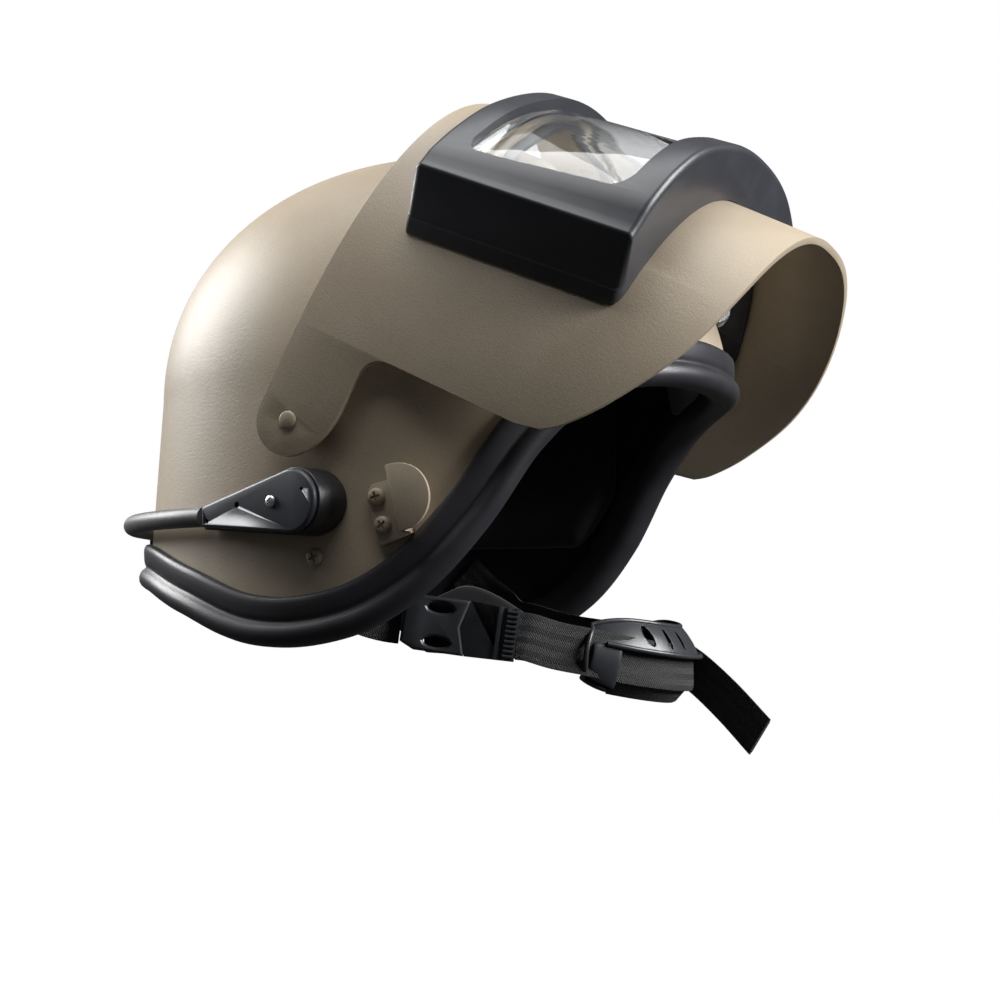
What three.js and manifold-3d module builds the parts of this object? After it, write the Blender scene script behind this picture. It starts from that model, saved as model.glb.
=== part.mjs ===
// A ballistic helmet with a hinged face visor, in millimetres.
// The front of the helmet faces -Y, the wearer's right is -X and up is +Z.
// The origin is the middle of the crown pad's underside, where the helmet rests on a head.
// The visor is shown raised, the way the helmet stands when it is worn with an open face.

import * as THREE from "three";
import { mergeVertices } from "three/addons/utils/BufferGeometryUtils.js";
import Module from "manifold-3d";

const wasm = await Module();
wasm.setup();

// Driving dimensions
const GAP = 0.3;
const DEGREE = Math.PI / 180;

// The shell is measured from the middle of its widest level.
const SHELL = {
  halfWidth: 117,
  front: 127.5,
  back: 131,
  dome: 113,
  wall: 9,
  planPower: 2.15,
  domePower: 2.1,
  sideFlare: 0.02,
  backFlare: 0.075,
};
const RIM_STATIONS = 52;
const DOME_ROWS = 10;

// Height of the shell's cut edge at each angle from the front, the same on both sides
const RIM_EDGE = [
  { angle: 0, height: 9 },
  { angle: 30, height: 7 },
  { angle: 46, height: -3 },
  { angle: 58, height: -25 },
  { angle: 68, height: -56 },
  { angle: 79, height: -82 },
  { angle: 92, height: -98 },
  { angle: 106, height: -99.5 },
  { angle: 124, height: -87 },
  { angle: 145, height: -76 },
  { angle: 180, height: -75 },
];

// Section of the rubber edge trim: out is off the shell's outer face, past is beyond its cut edge
const TRIM_SECTION = [
  { out: 0.5, past: -11 },
  { out: 3, past: -11 },
  { out: 3.8, past: -8.6 },
  { out: 2.8, past: -1.6 },
  { out: 4.8, past: 1.4 },
  { out: 4.9, past: 6 },
  { out: 1.4, past: 9.2 },
  { out: -4, past: 9.4 },
  { out: -9, past: 7.4 },
  { out: -12, past: 3 },
  { out: -12, past: -9 },
  { out: -9.8, past: -9 },
  { out: -9.8, past: 0.4 },
  { out: 0.5, past: 0.4 },
];

// Padding
const PAD = { thick: 12, besideShell: 10, besideTrim: 12.5, crownDrop: 1.1 };
const CROWN_SEAT = SHELL.dome - SHELL.wall - PAD.crownDrop - PAD.thick;

// The visor's own frame has the hinge line as its X axis, and -Y is forward and -Z down
// when the visor is shut. Reach is measured forward of the hinge line, and drop below it.
const HINGE = { y: 22, z: -18.3 };
const RAISED = 64;
const VISOR = { halfWidth: 125.5, reach: 160, power: 2.6, sheet: 3, steps: 16 };
const VISOR_EDGE = { top: -14, side: 38, lobe: 14.5, arm: 19.5, corner: 92 };
const CHIN_EDGE = [
  { reach: 40, drop: 99 },
  { reach: 46, drop: 107 },
  { reach: 62, drop: 120 },
  { reach: 89, drop: 135 },
  { reach: 121, drop: 142.5 },
  { reach: 170, drop: 144.5 },
];

// Window in the visor
const FRAME = { top: 7, bottom: 103, footTop: 114.5, footBottom: 112, tipHalf: 130 };
const FRAME_CROWN = [
  { side: 0, brow: 174.5, chin: 183 },
  { side: 34, brow: 171.8, chin: 181.5 },
  { side: 61, brow: 164.4, chin: 177 },
  { side: 91, brow: 151, chin: 167.5 },
  { side: 111, brow: 136.4, chin: 153.5 },
  { side: 124, brow: 123.6, chin: 137 },
  { side: 130, brow: 115, chin: 122 },
];
const OPENING = {
  top: 20,
  bottom: 89,
  footHalf: 100,
  footReach: 100,
  crownHalf: 122,
  crownReach: 130,
  round: 7,
};
const CUT_OUT = { top: 23, bottom: 92, half: 102, round: 7 };
const GLASS = { above: 0.6, below: 5, gap: 0.4 };
const BEZEL = { top: 22, bottom: 98, half: 110, innerTop: 27.5, innerBottom: 89, innerHalf: 97, thick: 1.9 };
const BEZEL_BOLTS = [
  { side: -104.5, drop: 42 },
  { side: -104.5, drop: 76 },
  { side: 104.5, drop: 42 },
  { side: 104.5, drop: 76 },
  { side: -50, drop: 94 },
  { side: 0, drop: 94 },
  { side: 50, drop: 94 },
];

// Hinge rivets
const RIVET = { hole: 2.9, shaft: 2.5, spacer: 6.5, head: 4, headTall: 1.5, running: 0.3 };

// Stop tabs, each a bent sheet whose rounded hook stands off the shell
const TAB = {
  y: -26.6,
  z: -50.9,
  lean: 13.5,
  sheet: 1.8,
  hookOut: 127,
  hookHalf: 13.5,
  hookDeep: 15,
  baseOut: 119,
  baseBack: -15,
  baseLow: -16,
  baseHigh: 9,
};
const TAB_SCREWS = [
  { along: -10.9, up: 3.5 },
  { along: -10.9, up: -8.1 },
];

// Side housings, each a teardrop box whose cover faces outward
const HOUSING = {
  out: 133,
  y: 17.5,
  z: -51.5,
  yaw: 17.5,
  round: 13.7,
  tail: 50.5,
  tailTop: 0.4,
  tailLow: -9.7,
  cover: 2.6,
  coverInset: 0.8,
  deep: 40,
};
const EAR_SCREW = { angle: 94.5, height: -73.7 };
const PAN_HEAD = { radius: 3.6, tall: 2.3 };
const COVER_HEAD = { radius: 2.5, tall: 1.4, behind: 10 };

// Tube that runs round the back from one housing to the other
const TUBE = { radius: 4.2, steps: 26, height: -56, startAngle: 112, startOut: 6.2, backOut: 10 };
const TUBE_CLIP = { half: 8, tall: 3, wall: 2 };
const REAR_PLATE = { half: 16, low: -41, high: -17, thick: 2 };

// Chin strap: facing is the turn of the webbing's outer face from the side toward the front
const WEBBING = { wide: 20, thick: 1.6 };
const BUCKLE = {
  from: [-83.5, -11, -98.5],
  to: [-65.5, -55, -105],
  tall: 23,
  thick: 8.5,
  socket: 27,
};
const STRAP_GAP = 0.4;
const SIDE_STRAP = [
  { x: -99, y: 8.5, z: -91, facing: 6 },
  { x: -91.5, y: 1, z: -95.5, facing: 14 },
  buckleSpot(-6),
  buckleSpot(-STRAP_GAP),
];
const FRONT_STRAP = [
  buckleSpot(buckleLength() + STRAP_GAP),
  buckleSpot(buckleLength() + 5),
  { x: -57, y: -69, z: -109, facing: 34 },
  { x: -48, y: -82, z: -112, facing: 40 },
  { x: -36, y: -96, z: -115.5, facing: 50 },
  { x: -20, y: -107.5, z: -118, facing: 68 },
  { x: 0, y: -112, z: -119, facing: 90 },
];
const TAIL = [
  { x: 29.5, y: -108.5, z: -121.5, facing: 146 },
  { x: 20.5, y: -124, z: -133.5, facing: 149 },
  { x: 10.5, y: -141, z: -149, facing: 150 },
];
const BACKING = { inward: 4.6, thick: 2.4, low: -112 };
const CUP = { inward: 1.15, thick: 3.2, high: 20, low: -12.5, curl: 5 };

// Colours
const tanPaint = () => new THREE.MeshStandardMaterial({ color: 0x8d7d66, roughness: 0.6, metalness: 0.1 });
const rubber = () => new THREE.MeshStandardMaterial({ color: 0x2a2b2e, roughness: 0.7, metalness: 0 });
const frameRubber = () => new THREE.MeshStandardMaterial({ color: 0x2e2c36, roughness: 0.55, metalness: 0 });
const clearGlass = () =>
  new THREE.MeshStandardMaterial({
    color: 0xe8eef0,
    roughness: 0.05,
    metalness: 0,
    transparent: true,
    opacity: 0.4,
  });
const blackPlastic = () => new THREE.MeshStandardMaterial({ color: 0x1b1c20, roughness: 0.5, metalness: 0 });
const slatePlastic = () => new THREE.MeshStandardMaterial({ color: 0x2b2f3a, roughness: 0.45, metalness: 0 });
const greyTube = () => new THREE.MeshStandardMaterial({ color: 0x55565a, roughness: 0.6, metalness: 0 });
const steel = () => new THREE.MeshStandardMaterial({ color: 0xb8b9bb, roughness: 0.3, metalness: 1 });
const blackWebbing = () => new THREE.MeshStandardMaterial({ color: 0x18181b, roughness: 0.9, metalness: 0 });
const blackPadding = () => new THREE.MeshStandardMaterial({ color: 0x141416, roughness: 0.95, metalness: 0 });

// Small helpers
const signedPower = (value, power) => Math.sign(value) * Math.abs(value) ** power;

// A smooth curve through a table of rows, read at one value of the key column
function readTable(table, key, value, at) {
  const last = table.length - 1;
  let i = 0;
  while (i < last - 1 && at > table[i + 1][key]) i += 1;
  const slope = (k) => {
    if (k <= 0 || k >= last) return 0;
    return (table[k + 1][value] - table[k - 1][value]) / (table[k + 1][key] - table[k - 1][key]);
  };
  const span = table[i + 1][key] - table[i][key];
  const t = (at - table[i][key]) / span;
  const rise = t * t * (3 - 2 * t);
  const bendStart = t * (1 - t) * (1 - t) * span * slope(i);
  const bendEnd = t * t * (t - 1) * span * slope(i + 1);
  return table[i][value] * (1 - rise) + table[i + 1][value] * rise + bendStart + bendEnd;
}

function signedVolume(vertices, triangles) {
  let total = 0;
  const cross = new THREE.Vector3();
  for (const [a, b, c] of triangles) total += cross.crossVectors(vertices[a], vertices[b]).dot(vertices[c]);
  return total;
}

// Closed body from points and triangles, turned so that its faces point out
function body(vertices, triangles) {
  const outward = signedVolume(vertices, triangles) > 0;
  const index = triangles.flatMap(([a, b, c]) => (outward ? [a, b, c] : [a, c, b]));
  const geometry = new THREE.BufferGeometry().setFromPoints(vertices);
  geometry.setIndex(index);
  return geometry;
}

// Body of closed rings that follow each other, either joined back to the first or ended by two points
function ringBody(rings, firstPole = null, lastPole = null) {
  const count = rings[0].length;
  const vertices = rings.flat();
  const triangles = [];
  const joins = firstPole ? rings.length - 1 : rings.length;
  for (let r = 0; r < joins; r += 1) {
    const next = (r + 1) % rings.length;
    for (let j = 0; j < count; j += 1) {
      const k = (j + 1) % count;
      triangles.push([r * count + j, r * count + k, next * count + j]);
      triangles.push([r * count + k, next * count + k, next * count + j]);
    }
  }
  if (firstPole) {
    const top = vertices.push(firstPole) - 1;
    const end = vertices.push(lastPole) - 1;
    const lastRing = (rings.length - 1) * count;
    for (let j = 0; j < count; j += 1) {
      const k = (j + 1) % count;
      triangles.push([top, k, j]);
      triangles.push([end, lastRing + j, lastRing + k]);
    }
  }
  return body(vertices, triangles);
}

// Body between two grids of points that face each other, such as a pad, a strap or a sheet
function slabBody(outer, inner) {
  const rows = outer.length;
  const columns = outer[0].length;
  const vertices = [...outer.flat(), ...inner.flat()];
  const at = (side, r, c) => side * rows * columns + r * columns + c;
  const triangles = [];
  const quad = (a, b, c, d) => triangles.push([a, b, c], [a, c, d]);
  for (let r = 0; r < rows - 1; r += 1) {
    for (let c = 0; c < columns - 1; c += 1) {
      quad(at(0, r, c), at(0, r, c + 1), at(0, r + 1, c + 1), at(0, r + 1, c));
      quad(at(1, r, c), at(1, r + 1, c), at(1, r + 1, c + 1), at(1, r, c + 1));
    }
  }
  for (let c = 0; c < columns - 1; c += 1) {
    quad(at(0, 0, c), at(1, 0, c), at(1, 0, c + 1), at(0, 0, c + 1));
    quad(at(0, rows - 1, c), at(0, rows - 1, c + 1), at(1, rows - 1, c + 1), at(1, rows - 1, c));
  }
  for (let r = 0; r < rows - 1; r += 1) {
    quad(at(0, r, 0), at(0, r + 1, 0), at(1, r + 1, 0), at(1, r, 0));
    quad(at(0, r, columns - 1), at(1, r, columns - 1), at(1, r + 1, columns - 1), at(0, r + 1, columns - 1));
  }
  return body(vertices, triangles);
}

// Body between two flat outlines with the same number of points, counted the same way round
function loftBody(first, last) {
  const count = first.length;
  const flat = first.map((point) => new THREE.Vector2(point.x, -point.y));
  const triangles = [];
  for (const [a, b, c] of THREE.ShapeUtils.triangulateShape(flat, [])) {
    triangles.push([a, b, c], [count + a, count + c, count + b]);
  }
  for (let j = 0; j < count; j += 1) {
    const k = (j + 1) % count;
    triangles.push([j, count + j, k], [k, count + j, count + k]);
  }
  return body([...first, ...last], triangles);
}

function toSolid(geometry) {
  const bare = geometry.clone();
  bare.deleteAttribute("normal");
  bare.deleteAttribute("uv");
  const merged = mergeVertices(bare, 1e-4);
  const mesh = new wasm.Mesh({
    numProp: 3,
    vertProperties: new Float32Array(merged.attributes.position.array),
    triVerts: new Uint32Array(merged.index.array),
  });
  return new wasm.Manifold(mesh);
}

function toGeometry(solid) {
  const mesh = solid.getMesh();
  const geometry = new THREE.BufferGeometry();
  geometry.setAttribute("position", new THREE.BufferAttribute(new Float32Array(mesh.vertProperties), 3));
  geometry.setIndex(new THREE.BufferAttribute(new Uint32Array(mesh.triVerts), 1));
  return geometry;
}

// Straight prism of an outline, moved into place by a matrix whose columns are given
function prism(outline, length, across, up, along, corner) {
  const settings = { depth: length, bevelEnabled: false, curveSegments: 8 };
  const geometry = new THREE.ExtrudeGeometry(outline, settings);
  const matrix = new THREE.Matrix4().makeBasis(across, up, along);
  matrix.setPosition(corner);
  return geometry.applyMatrix4(matrix);
}

function polygon(points) {
  return new THREE.Shape(points.map(([x, y]) => new THREE.Vector2(x, y)));
}

function roundedBox(left, low, right, high, round) {
  const shape = new THREE.Shape();
  shape.moveTo(left + round, low);
  shape.lineTo(right - round, low);
  shape.absarc(right - round, low + round, round, -Math.PI / 2, 0);
  shape.lineTo(right, high - round);
  shape.absarc(right - round, high - round, round, 0, Math.PI / 2);
  shape.lineTo(left + round, high);
  shape.absarc(left + round, high - round, round, Math.PI / 2, Math.PI);
  shape.lineTo(left, low + round);
  shape.absarc(left + round, low + round, round, Math.PI, Math.PI * 1.5);
  return shape;
}

// The shell's surface, by angle from the front and by climb, which is a height below the widest
// level and an angle up the dome above it
function surface(angle, climb) {
  const height = climb < 0 ? SHELL.dome * climb : SHELL.dome * Math.sin(climb);
  const level = Math.max(0, height) / SHELL.dome;
  const shrink = Math.max(0, 1 - level ** SHELL.domePower) ** (1 / SHELL.domePower);
  const below = Math.max(0, -height);
  const sine = signedPower(Math.sin(angle), 2 / SHELL.planPower);
  const cosine = signedPower(Math.cos(angle), 2 / SHELL.planPower);
  const wide = SHELL.halfWidth * shrink + SHELL.sideFlare * below;
  const long = cosine > 0 ? SHELL.front * shrink : SHELL.back * shrink + SHELL.backFlare * below;
  return new THREE.Vector3(-wide * sine, -long * cosine, height);
}

function surfaceNormal(angle, climb) {
  if (climb > Math.PI / 2 - 0.01) return new THREE.Vector3(0, 0, 1);
  const step = 0.004;
  const around = surface(angle + step, climb).sub(surface(angle - step, climb));
  const upward = surface(angle, climb + step).sub(surface(angle, climb - step));
  const normal = around.cross(upward).normalize();
  return normal.dot(surface(angle, climb)) > 0 ? normal : normal.negate();
}

function onShell(angle, climb, out = 0) {
  return surface(angle, climb).addScaledVector(surfaceNormal(angle, climb), out);
}

const climbOf = (height) => (height < 0 ? height / SHELL.dome : Math.asin(height / SHELL.dome));
const atHeight = (degrees, height, out = 0) => onShell(degrees * DEGREE, climbOf(height), out);

const edgeHeight = (angle) => {
  const turn = Math.abs(THREE.MathUtils.euclideanModulo(angle / DEGREE + 180, 360) - 180);
  return readTable(RIM_EDGE, "angle", "height", turn);
};

// Angles of stations that lie equally far apart along the shell's cut edge
function rimStations(count) {
  const fine = 1440;
  const reached = [0];
  let before = onShell(-Math.PI, climbOf(edgeHeight(-Math.PI)));
  for (let i = 1; i <= fine; i += 1) {
    const angle = -Math.PI + (2 * Math.PI * i) / fine;
    const here = onShell(angle, climbOf(edgeHeight(angle)));
    reached.push(reached[i - 1] + here.distanceTo(before));
    before = here;
  }
  const angles = [];
  let i = 0;
  for (let j = 0; j < count; j += 1) {
    const target = (reached[fine] * j) / count;
    while (reached[i + 1] < target) i += 1;
    const part = (target - reached[i]) / (reached[i + 1] - reached[i]);
    angles.push(-Math.PI + (2 * Math.PI * (i + part)) / fine);
  }
  return angles;
}

const RIM_ANGLES = rimStations(RIM_STATIONS);

// Rings of the dome from the top down to the cut edge, at one depth from the outer face
function domeRings(out) {
  const rings = [];
  for (let row = 1; row <= DOME_ROWS; row += 1) {
    const down = row / DOME_ROWS;
    rings.push(
      RIM_ANGLES.map((angle) => {
        const low = climbOf(edgeHeight(angle));
        return onShell(angle, Math.PI / 2 + (low - Math.PI / 2) * down, out);
      }),
    );
  }
  return rings;
}

function shellBody() {
  const outer = domeRings(0);
  const inner = domeRings(-SHELL.wall).reverse();
  const top = new THREE.Vector3(0, 0, SHELL.dome);
  const underTop = new THREE.Vector3(0, 0, SHELL.dome - SHELL.wall);
  return ringBody([...outer, ...inner], top, underTop);
}

// The rubber trim follows the cut edge, and its section turns with the edge in the shell's surface
function trimBody() {
  const step = 0.01;
  const climbAt = (angle) => climbOf(edgeHeight(angle));
  const rings = TRIM_SECTION.map(() => []);
  for (const angle of RIM_ANGLES) {
    const climb = climbAt(angle);
    const around = surface(angle + step, climb).sub(surface(angle - step, climb)).divideScalar(2 * step);
    const upward = surface(angle, climb + step).sub(surface(angle, climb - step)).divideScalar(2 * step);
    const slope = (climbAt(angle + step) - climbAt(angle - step)) / (2 * step);
    const edge = around.clone().addScaledVector(upward, slope).normalize();
    const past = edge.clone().cross(surfaceNormal(angle, climb));
    if (past.dot(upward) > 0) past.negate();
    const turnRate = past.dot(around) / around.lengthSq();
    const climbRate = past.dot(upward) / upward.lengthSq();
    TRIM_SECTION.forEach((spot, k) => {
      rings[k].push(onShell(angle + turnRate * spot.past, climb + climbRate * spot.past, spot.out));
    });
  }
  return ringBody(rings);
}

// A pad that follows the inside of the shell between two angles and two heights
function padBody(from, to, low, high, beside, columns = 8, rows = 4) {
  const layer = (out) => {
    const grid = [];
    for (let r = 0; r <= rows; r += 1) {
      const line = [];
      for (let c = 0; c <= columns; c += 1) {
        const angle = from + ((to - from) * c) / columns;
        const bottom = low(angle);
        line.push(atHeight(angle, bottom + ((high - bottom) * r) / rows, out));
      }
      grid.push(line);
    }
    return grid;
  };
  return slabBody(layer(-beside), layer(-beside - PAD.thick + 2));
}

function crownPadBody() {
  const turns = 18;
  const rows = [86, 80, 73, 66];
  const ring = (degrees, out) =>
    Array.from({ length: turns }, (_, j) => onShell((2 * Math.PI * j) / turns, degrees * DEGREE, out));
  const upper = SHELL.wall + PAD.crownDrop;
  const outer = rows.map((degrees) => ring(degrees, -upper));
  const inner = rows.map((degrees) => ring(degrees, -upper - PAD.thick)).reverse();
  const top = new THREE.Vector3(0, 0, SHELL.dome - upper);
  return ringBody([...outer, ...inner], top, new THREE.Vector3(0, 0, CROWN_SEAT));
}

// Solid as wide as the shell with a small clearance, which cuts the backs of the fittings
function shellCutter() {
  const turns = 72;
  const rows = 16;
  const deepest = -130;
  const clear = 0.5;
  const low = deepest / SHELL.dome;
  const rings = [];
  for (let row = 1; row <= rows; row += 1) {
    const climb = Math.PI / 2 + ((low - Math.PI / 2) * row) / rows;
    rings.push(Array.from({ length: turns }, (_, j) => onShell((2 * Math.PI * j) / turns, climb, clear)));
  }
  const top = new THREE.Vector3(0, 0, SHELL.dome + clear);
  return toSolid(ringBody(rings, top, new THREE.Vector3(0, 0, deepest)));
}

const CUTTER = shellCutter();

// The visor's curved section, by a turn from its middle line, and by how far off its outer face
function arch(turn, out = 0) {
  const at = (t) =>
    new THREE.Vector2(
      VISOR.halfWidth * signedPower(Math.sin(t), 2 / VISOR.power),
      VISOR.reach * signedPower(Math.cos(t), 2 / VISOR.power),
    );
  const step = 0.002;
  const limit = Math.PI / 2 - 2 * step;
  const inside = Math.max(-limit, Math.min(limit, turn));
  const tangent = at(inside + step).sub(at(inside - step)).normalize();
  return at(inside).add(new THREE.Vector2(-tangent.y, tangent.x).multiplyScalar(out));
}

// Turn at which the section is a given way off the middle
function turnAt(side) {
  return Math.asin(signedPower(side / VISOR.halfWidth, VISOR.power / 2));
}

function archLine(half, out, steps) {
  const end = turnAt(half);
  const points = [];
  for (let i = 0; i <= steps; i += 1) {
    const point = arch(-end + (2 * end * i) / steps, out);
    points.push([point.x, point.y]);
  }
  return points;
}

// Prisms in the visor's frame: along its drop, across its width and along its reach
const X = new THREE.Vector3(1, 0, 0);
const Y = new THREE.Vector3(0, 1, 0);
const Z = new THREE.Vector3(0, 0, 1);
const FORWARD = Y.clone().negate();
const DOWN = Z.clone().negate();
const LEFTWARD = X.clone().negate();
const alongDrop = (outline, from, to) =>
  toSolid(prism(outline, to - from, X, FORWARD, DOWN, new THREE.Vector3(0, 0, -from)));
const acrossWidth = (outline, half) =>
  toSolid(prism(outline, 2 * half, DOWN, FORWARD, LEFTWARD, new THREE.Vector3(half, 0, 0)));
const alongReach = (outline, from, to) =>
  toSolid(prism(outline, to - from, X, DOWN, Y, new THREE.Vector3(0, -to, 0)));

// Outline of the visor's cheeks seen from the side, with drop across and reach upward
function visorOutline() {
  const shape = new THREE.Shape();
  const { top, side, lobe, arm, corner } = VISOR_EDGE;
  shape.moveTo(top, 190);
  shape.lineTo(top, 0);
  shape.absarc(top + lobe, 0, lobe, Math.PI, Math.PI * 1.5);
  shape.bezierCurveTo(12, -lobe, arm, 0, arm, 14);
  shape.lineTo(arm, side - 12);
  shape.bezierCurveTo(arm, side - 4, arm + 4, side, arm + 11, side);
  shape.lineTo(corner - 4, side);
  const chin = new THREE.SplineCurve(CHIN_EDGE.map((spot) => new THREE.Vector2(spot.drop, spot.reach)));
  for (const point of chin.getPoints(12)) shape.lineTo(point.x, point.y);
  shape.lineTo(CHIN_EDGE.at(-1).drop, 190);
  return shape;
}

function visorPlateBody() {
  const legEnd = -VISOR_EDGE.lobe - 6;
  const outer = archLine(VISOR.halfWidth - 0.02, 0, VISOR.steps * 2);
  const inner = archLine(VISOR.halfWidth - 0.02, -VISOR.sheet, VISOR.steps * 2).reverse();
  const half = VISOR.halfWidth;
  const section = polygon([
    [-half, legEnd],
    ...outer,
    [half, legEnd],
    [half - VISOR.sheet, legEnd],
    ...inner,
    [-half + VISOR.sheet, legEnd],
  ]);
  const sheet = alongDrop(section, VISOR_EDGE.top - 2, 160);
  const cheeks = acrossWidth(visorOutline(), 140);
  const cutLine = roundedBox(-CUT_OUT.half, CUT_OUT.top, CUT_OUT.half, CUT_OUT.bottom, CUT_OUT.round);
  const cutOut = alongReach(cutLine, 60, 200);
  const holeOutline = new THREE.Shape().absarc(0, 0, RIVET.hole, 0, Math.PI * 2);
  const holes = acrossWidth(holeOutline, 140);
  return toGeometry(sheet.intersect(cheeks).subtract(cutOut).subtract(holes));
}

// Outer line of the window frame, higher toward the chin than toward the brow
function frameCrown(end, fall) {
  const steps = 22;
  const points = [];
  for (let i = 0; i <= steps; i += 1) {
    const share = (2 * i) / steps - 1;
    const side = FRAME.tipHalf * Math.sin((share * Math.PI) / 2);
    points.push([side, readTable(FRAME_CROWN, "side", end, Math.abs(side)) - fall]);
  }
  return points;
}

function openingSolid(shrink) {
  const foot = OPENING.footHalf - shrink;
  const crown = OPENING.crownHalf - shrink;
  const wedge = polygon([
    [-foot, OPENING.footReach],
    [foot, OPENING.footReach],
    [crown, OPENING.crownReach],
    [crown, 220],
    [-crown, 220],
    [-crown, OPENING.crownReach],
  ]);
  const top = OPENING.top + shrink;
  const bottom = OPENING.bottom - shrink;
  const round = OPENING.round;
  return alongDrop(wedge, top, bottom).intersect(
    alongReach(roundedBox(-crown, top, crown, bottom, round), OPENING.footReach - 5, 225),
  );
}

function frameBlock(footOut, fall) {
  const section = (drop, end, footHalf) => {
    const foot = archLine(footHalf, footOut, 22).reverse();
    const crown = frameCrown(end, fall);
    const outline = [...crown, ...foot].map(([side, reach]) => new THREE.Vector2(side, reach));
    if (THREE.ShapeUtils.isClockWise(outline)) outline.reverse();
    return outline.map((point) => new THREE.Vector3(point.x, -point.y, -drop));
  };
  const above = section(FRAME.top, "brow", FRAME.footTop);
  const below = section(FRAME.bottom, "chin", FRAME.footBottom);
  return toSolid(loftBody(above, below));
}

const windowFrameBody = () => toGeometry(frameBlock(1.4 * GAP, 0).subtract(openingSolid(0)));
const windowGlassBody = () =>
  toGeometry(frameBlock(GLASS.above, GLASS.below).intersect(openingSolid(GLASS.gap)));

// Bolted frame that holds the window from the inside of the visor sheet
function bezelBody() {
  const band = polygon([
    ...archLine(BEZEL.half, -VISOR.sheet - GAP, 20),
    ...archLine(BEZEL.half, -VISOR.sheet - GAP - BEZEL.thick, 20).reverse(),
  ]);
  const ring = alongDrop(band, BEZEL.top, BEZEL.bottom);
  const { innerHalf, innerTop, innerBottom } = BEZEL;
  const middle = roundedBox(-innerHalf, innerTop, innerHalf, innerBottom, CUT_OUT.round);
  return toGeometry(ring.subtract(alongReach(middle, 60, 200)));
}

// Screw or rivet head with its flat back at height 0
function headBody(radius, tall, sides = 9) {
  const profile = [
    new THREE.Vector2(0, 0),
    new THREE.Vector2(radius, 0),
    new THREE.Vector2(radius, tall * 0.35),
    new THREE.Vector2(radius * 0.8, tall * 0.85),
    new THREE.Vector2(radius * 0.35, tall),
    new THREE.Vector2(0, tall),
  ];
  return new THREE.LatheGeometry(profile, sides).rotateX(Math.PI / 2);
}

// Rivet that carries the visor: a spacer on the shell, a shaft through the sheet and a round head
function rivetBody(surfaceX) {
  const inner = VISOR.halfWidth - VISOR.sheet - RIVET.running;
  const outer = VISOR.halfWidth + RIVET.running;
  const profile = [
    new THREE.Vector2(0, surfaceX - 4),
    new THREE.Vector2(RIVET.spacer, surfaceX - 4),
    new THREE.Vector2(RIVET.spacer, inner),
    new THREE.Vector2(RIVET.shaft, inner),
    new THREE.Vector2(RIVET.shaft, outer),
    new THREE.Vector2(RIVET.head, outer),
    new THREE.Vector2(RIVET.head * 0.8, outer + RIVET.headTall * 0.7),
    new THREE.Vector2(0, outer + RIVET.headTall),
  ];
  const post = new THREE.LatheGeometry(profile, 16).rotateZ(Math.PI / 2);
  post.translate(0, HINGE.y, HINGE.z);
  return toGeometry(toSolid(post).subtract(CUTTER));
}

// Each fitting is made for the wearer's right side and mirrored for the left
function mirrored(geometry) {
  const solid = toSolid(geometry);
  return toGeometry(solid.mirror([1, 0, 0]));
}

const tabMatrix = (out) => {
  const lean = TAB.lean * DEGREE;
  const forward = new THREE.Vector3(0, -Math.cos(lean), Math.sin(lean));
  const upward = new THREE.Vector3(0, Math.sin(lean), Math.cos(lean));
  const matrix = new THREE.Matrix4().makeBasis(forward, upward, new THREE.Vector3(-1, 0, 0));
  return matrix.setPosition(-out, TAB.y, TAB.z);
};

function tabBody() {
  const { sheet, hookHalf, hookDeep, baseBack, baseLow, baseHigh } = TAB;
  const hookShape = new THREE.Shape();
  hookShape.moveTo(0, -hookHalf);
  hookShape.bezierCurveTo(hookDeep * 1.25, -hookHalf, hookDeep * 1.25, hookHalf, 0, hookHalf);
  hookShape.lineTo(-sheet, hookHalf);
  hookShape.lineTo(-sheet, -hookHalf);
  const settings = { depth: sheet, bevelEnabled: false, curveSegments: 16 };
  const hook = new THREE.ExtrudeGeometry(hookShape, settings).applyMatrix4(tabMatrix(TAB.hookOut));
  const baseShape = new THREE.Shape();
  baseShape.moveTo(baseBack + 2, baseLow);
  baseShape.lineTo(0, baseLow + 2);
  baseShape.lineTo(0, baseHigh);
  baseShape.lineTo(baseBack + 3, baseHigh);
  baseShape.lineTo(baseBack, baseHigh - 3);
  baseShape.lineTo(baseBack, baseLow + 2);
  const baseSettings = { depth: sheet + 4, bevelEnabled: false };
  const base = new THREE.ExtrudeGeometry(baseShape, baseSettings).applyMatrix4(tabMatrix(TAB.baseOut - 4));
  const webSize = TAB.hookOut + sheet - TAB.baseOut;
  const web = new THREE.BoxGeometry(sheet, 2 * hookHalf, webSize);
  web.translate(-sheet / 2, 0, webSize / 2);
  web.applyMatrix4(tabMatrix(TAB.baseOut));
  const joined = toSolid(hook).add(toSolid(web)).add(toSolid(base));
  return toGeometry(joined.subtract(CUTTER));
}

const housingMatrix = (depthIn) => {
  const yaw = HOUSING.yaw * DEGREE;
  const backward = new THREE.Vector3(Math.sin(yaw), Math.cos(yaw), 0);
  const outward = new THREE.Vector3(-Math.cos(yaw), Math.sin(yaw), 0);
  const matrix = new THREE.Matrix4().makeBasis(backward, Z.clone().negate(), outward);
  const corner = new THREE.Vector3(-HOUSING.out, HOUSING.y, HOUSING.z).addScaledVector(outward, -depthIn);
  return matrix.setPosition(corner);
};

// Teardrop outline, with backward across and downward up the page
function teardrop(inset) {
  const { round, tail, tailTop, tailLow } = HOUSING;
  const radius = round - inset;
  const shape = new THREE.Shape();
  shape.moveTo(tail - inset, -tailTop + inset);
  shape.lineTo(tail - inset, -tailLow - inset);
  shape.absarc(0, 0, radius, 85 * DEGREE, 285 * DEGREE, false);
  return shape;
}

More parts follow.
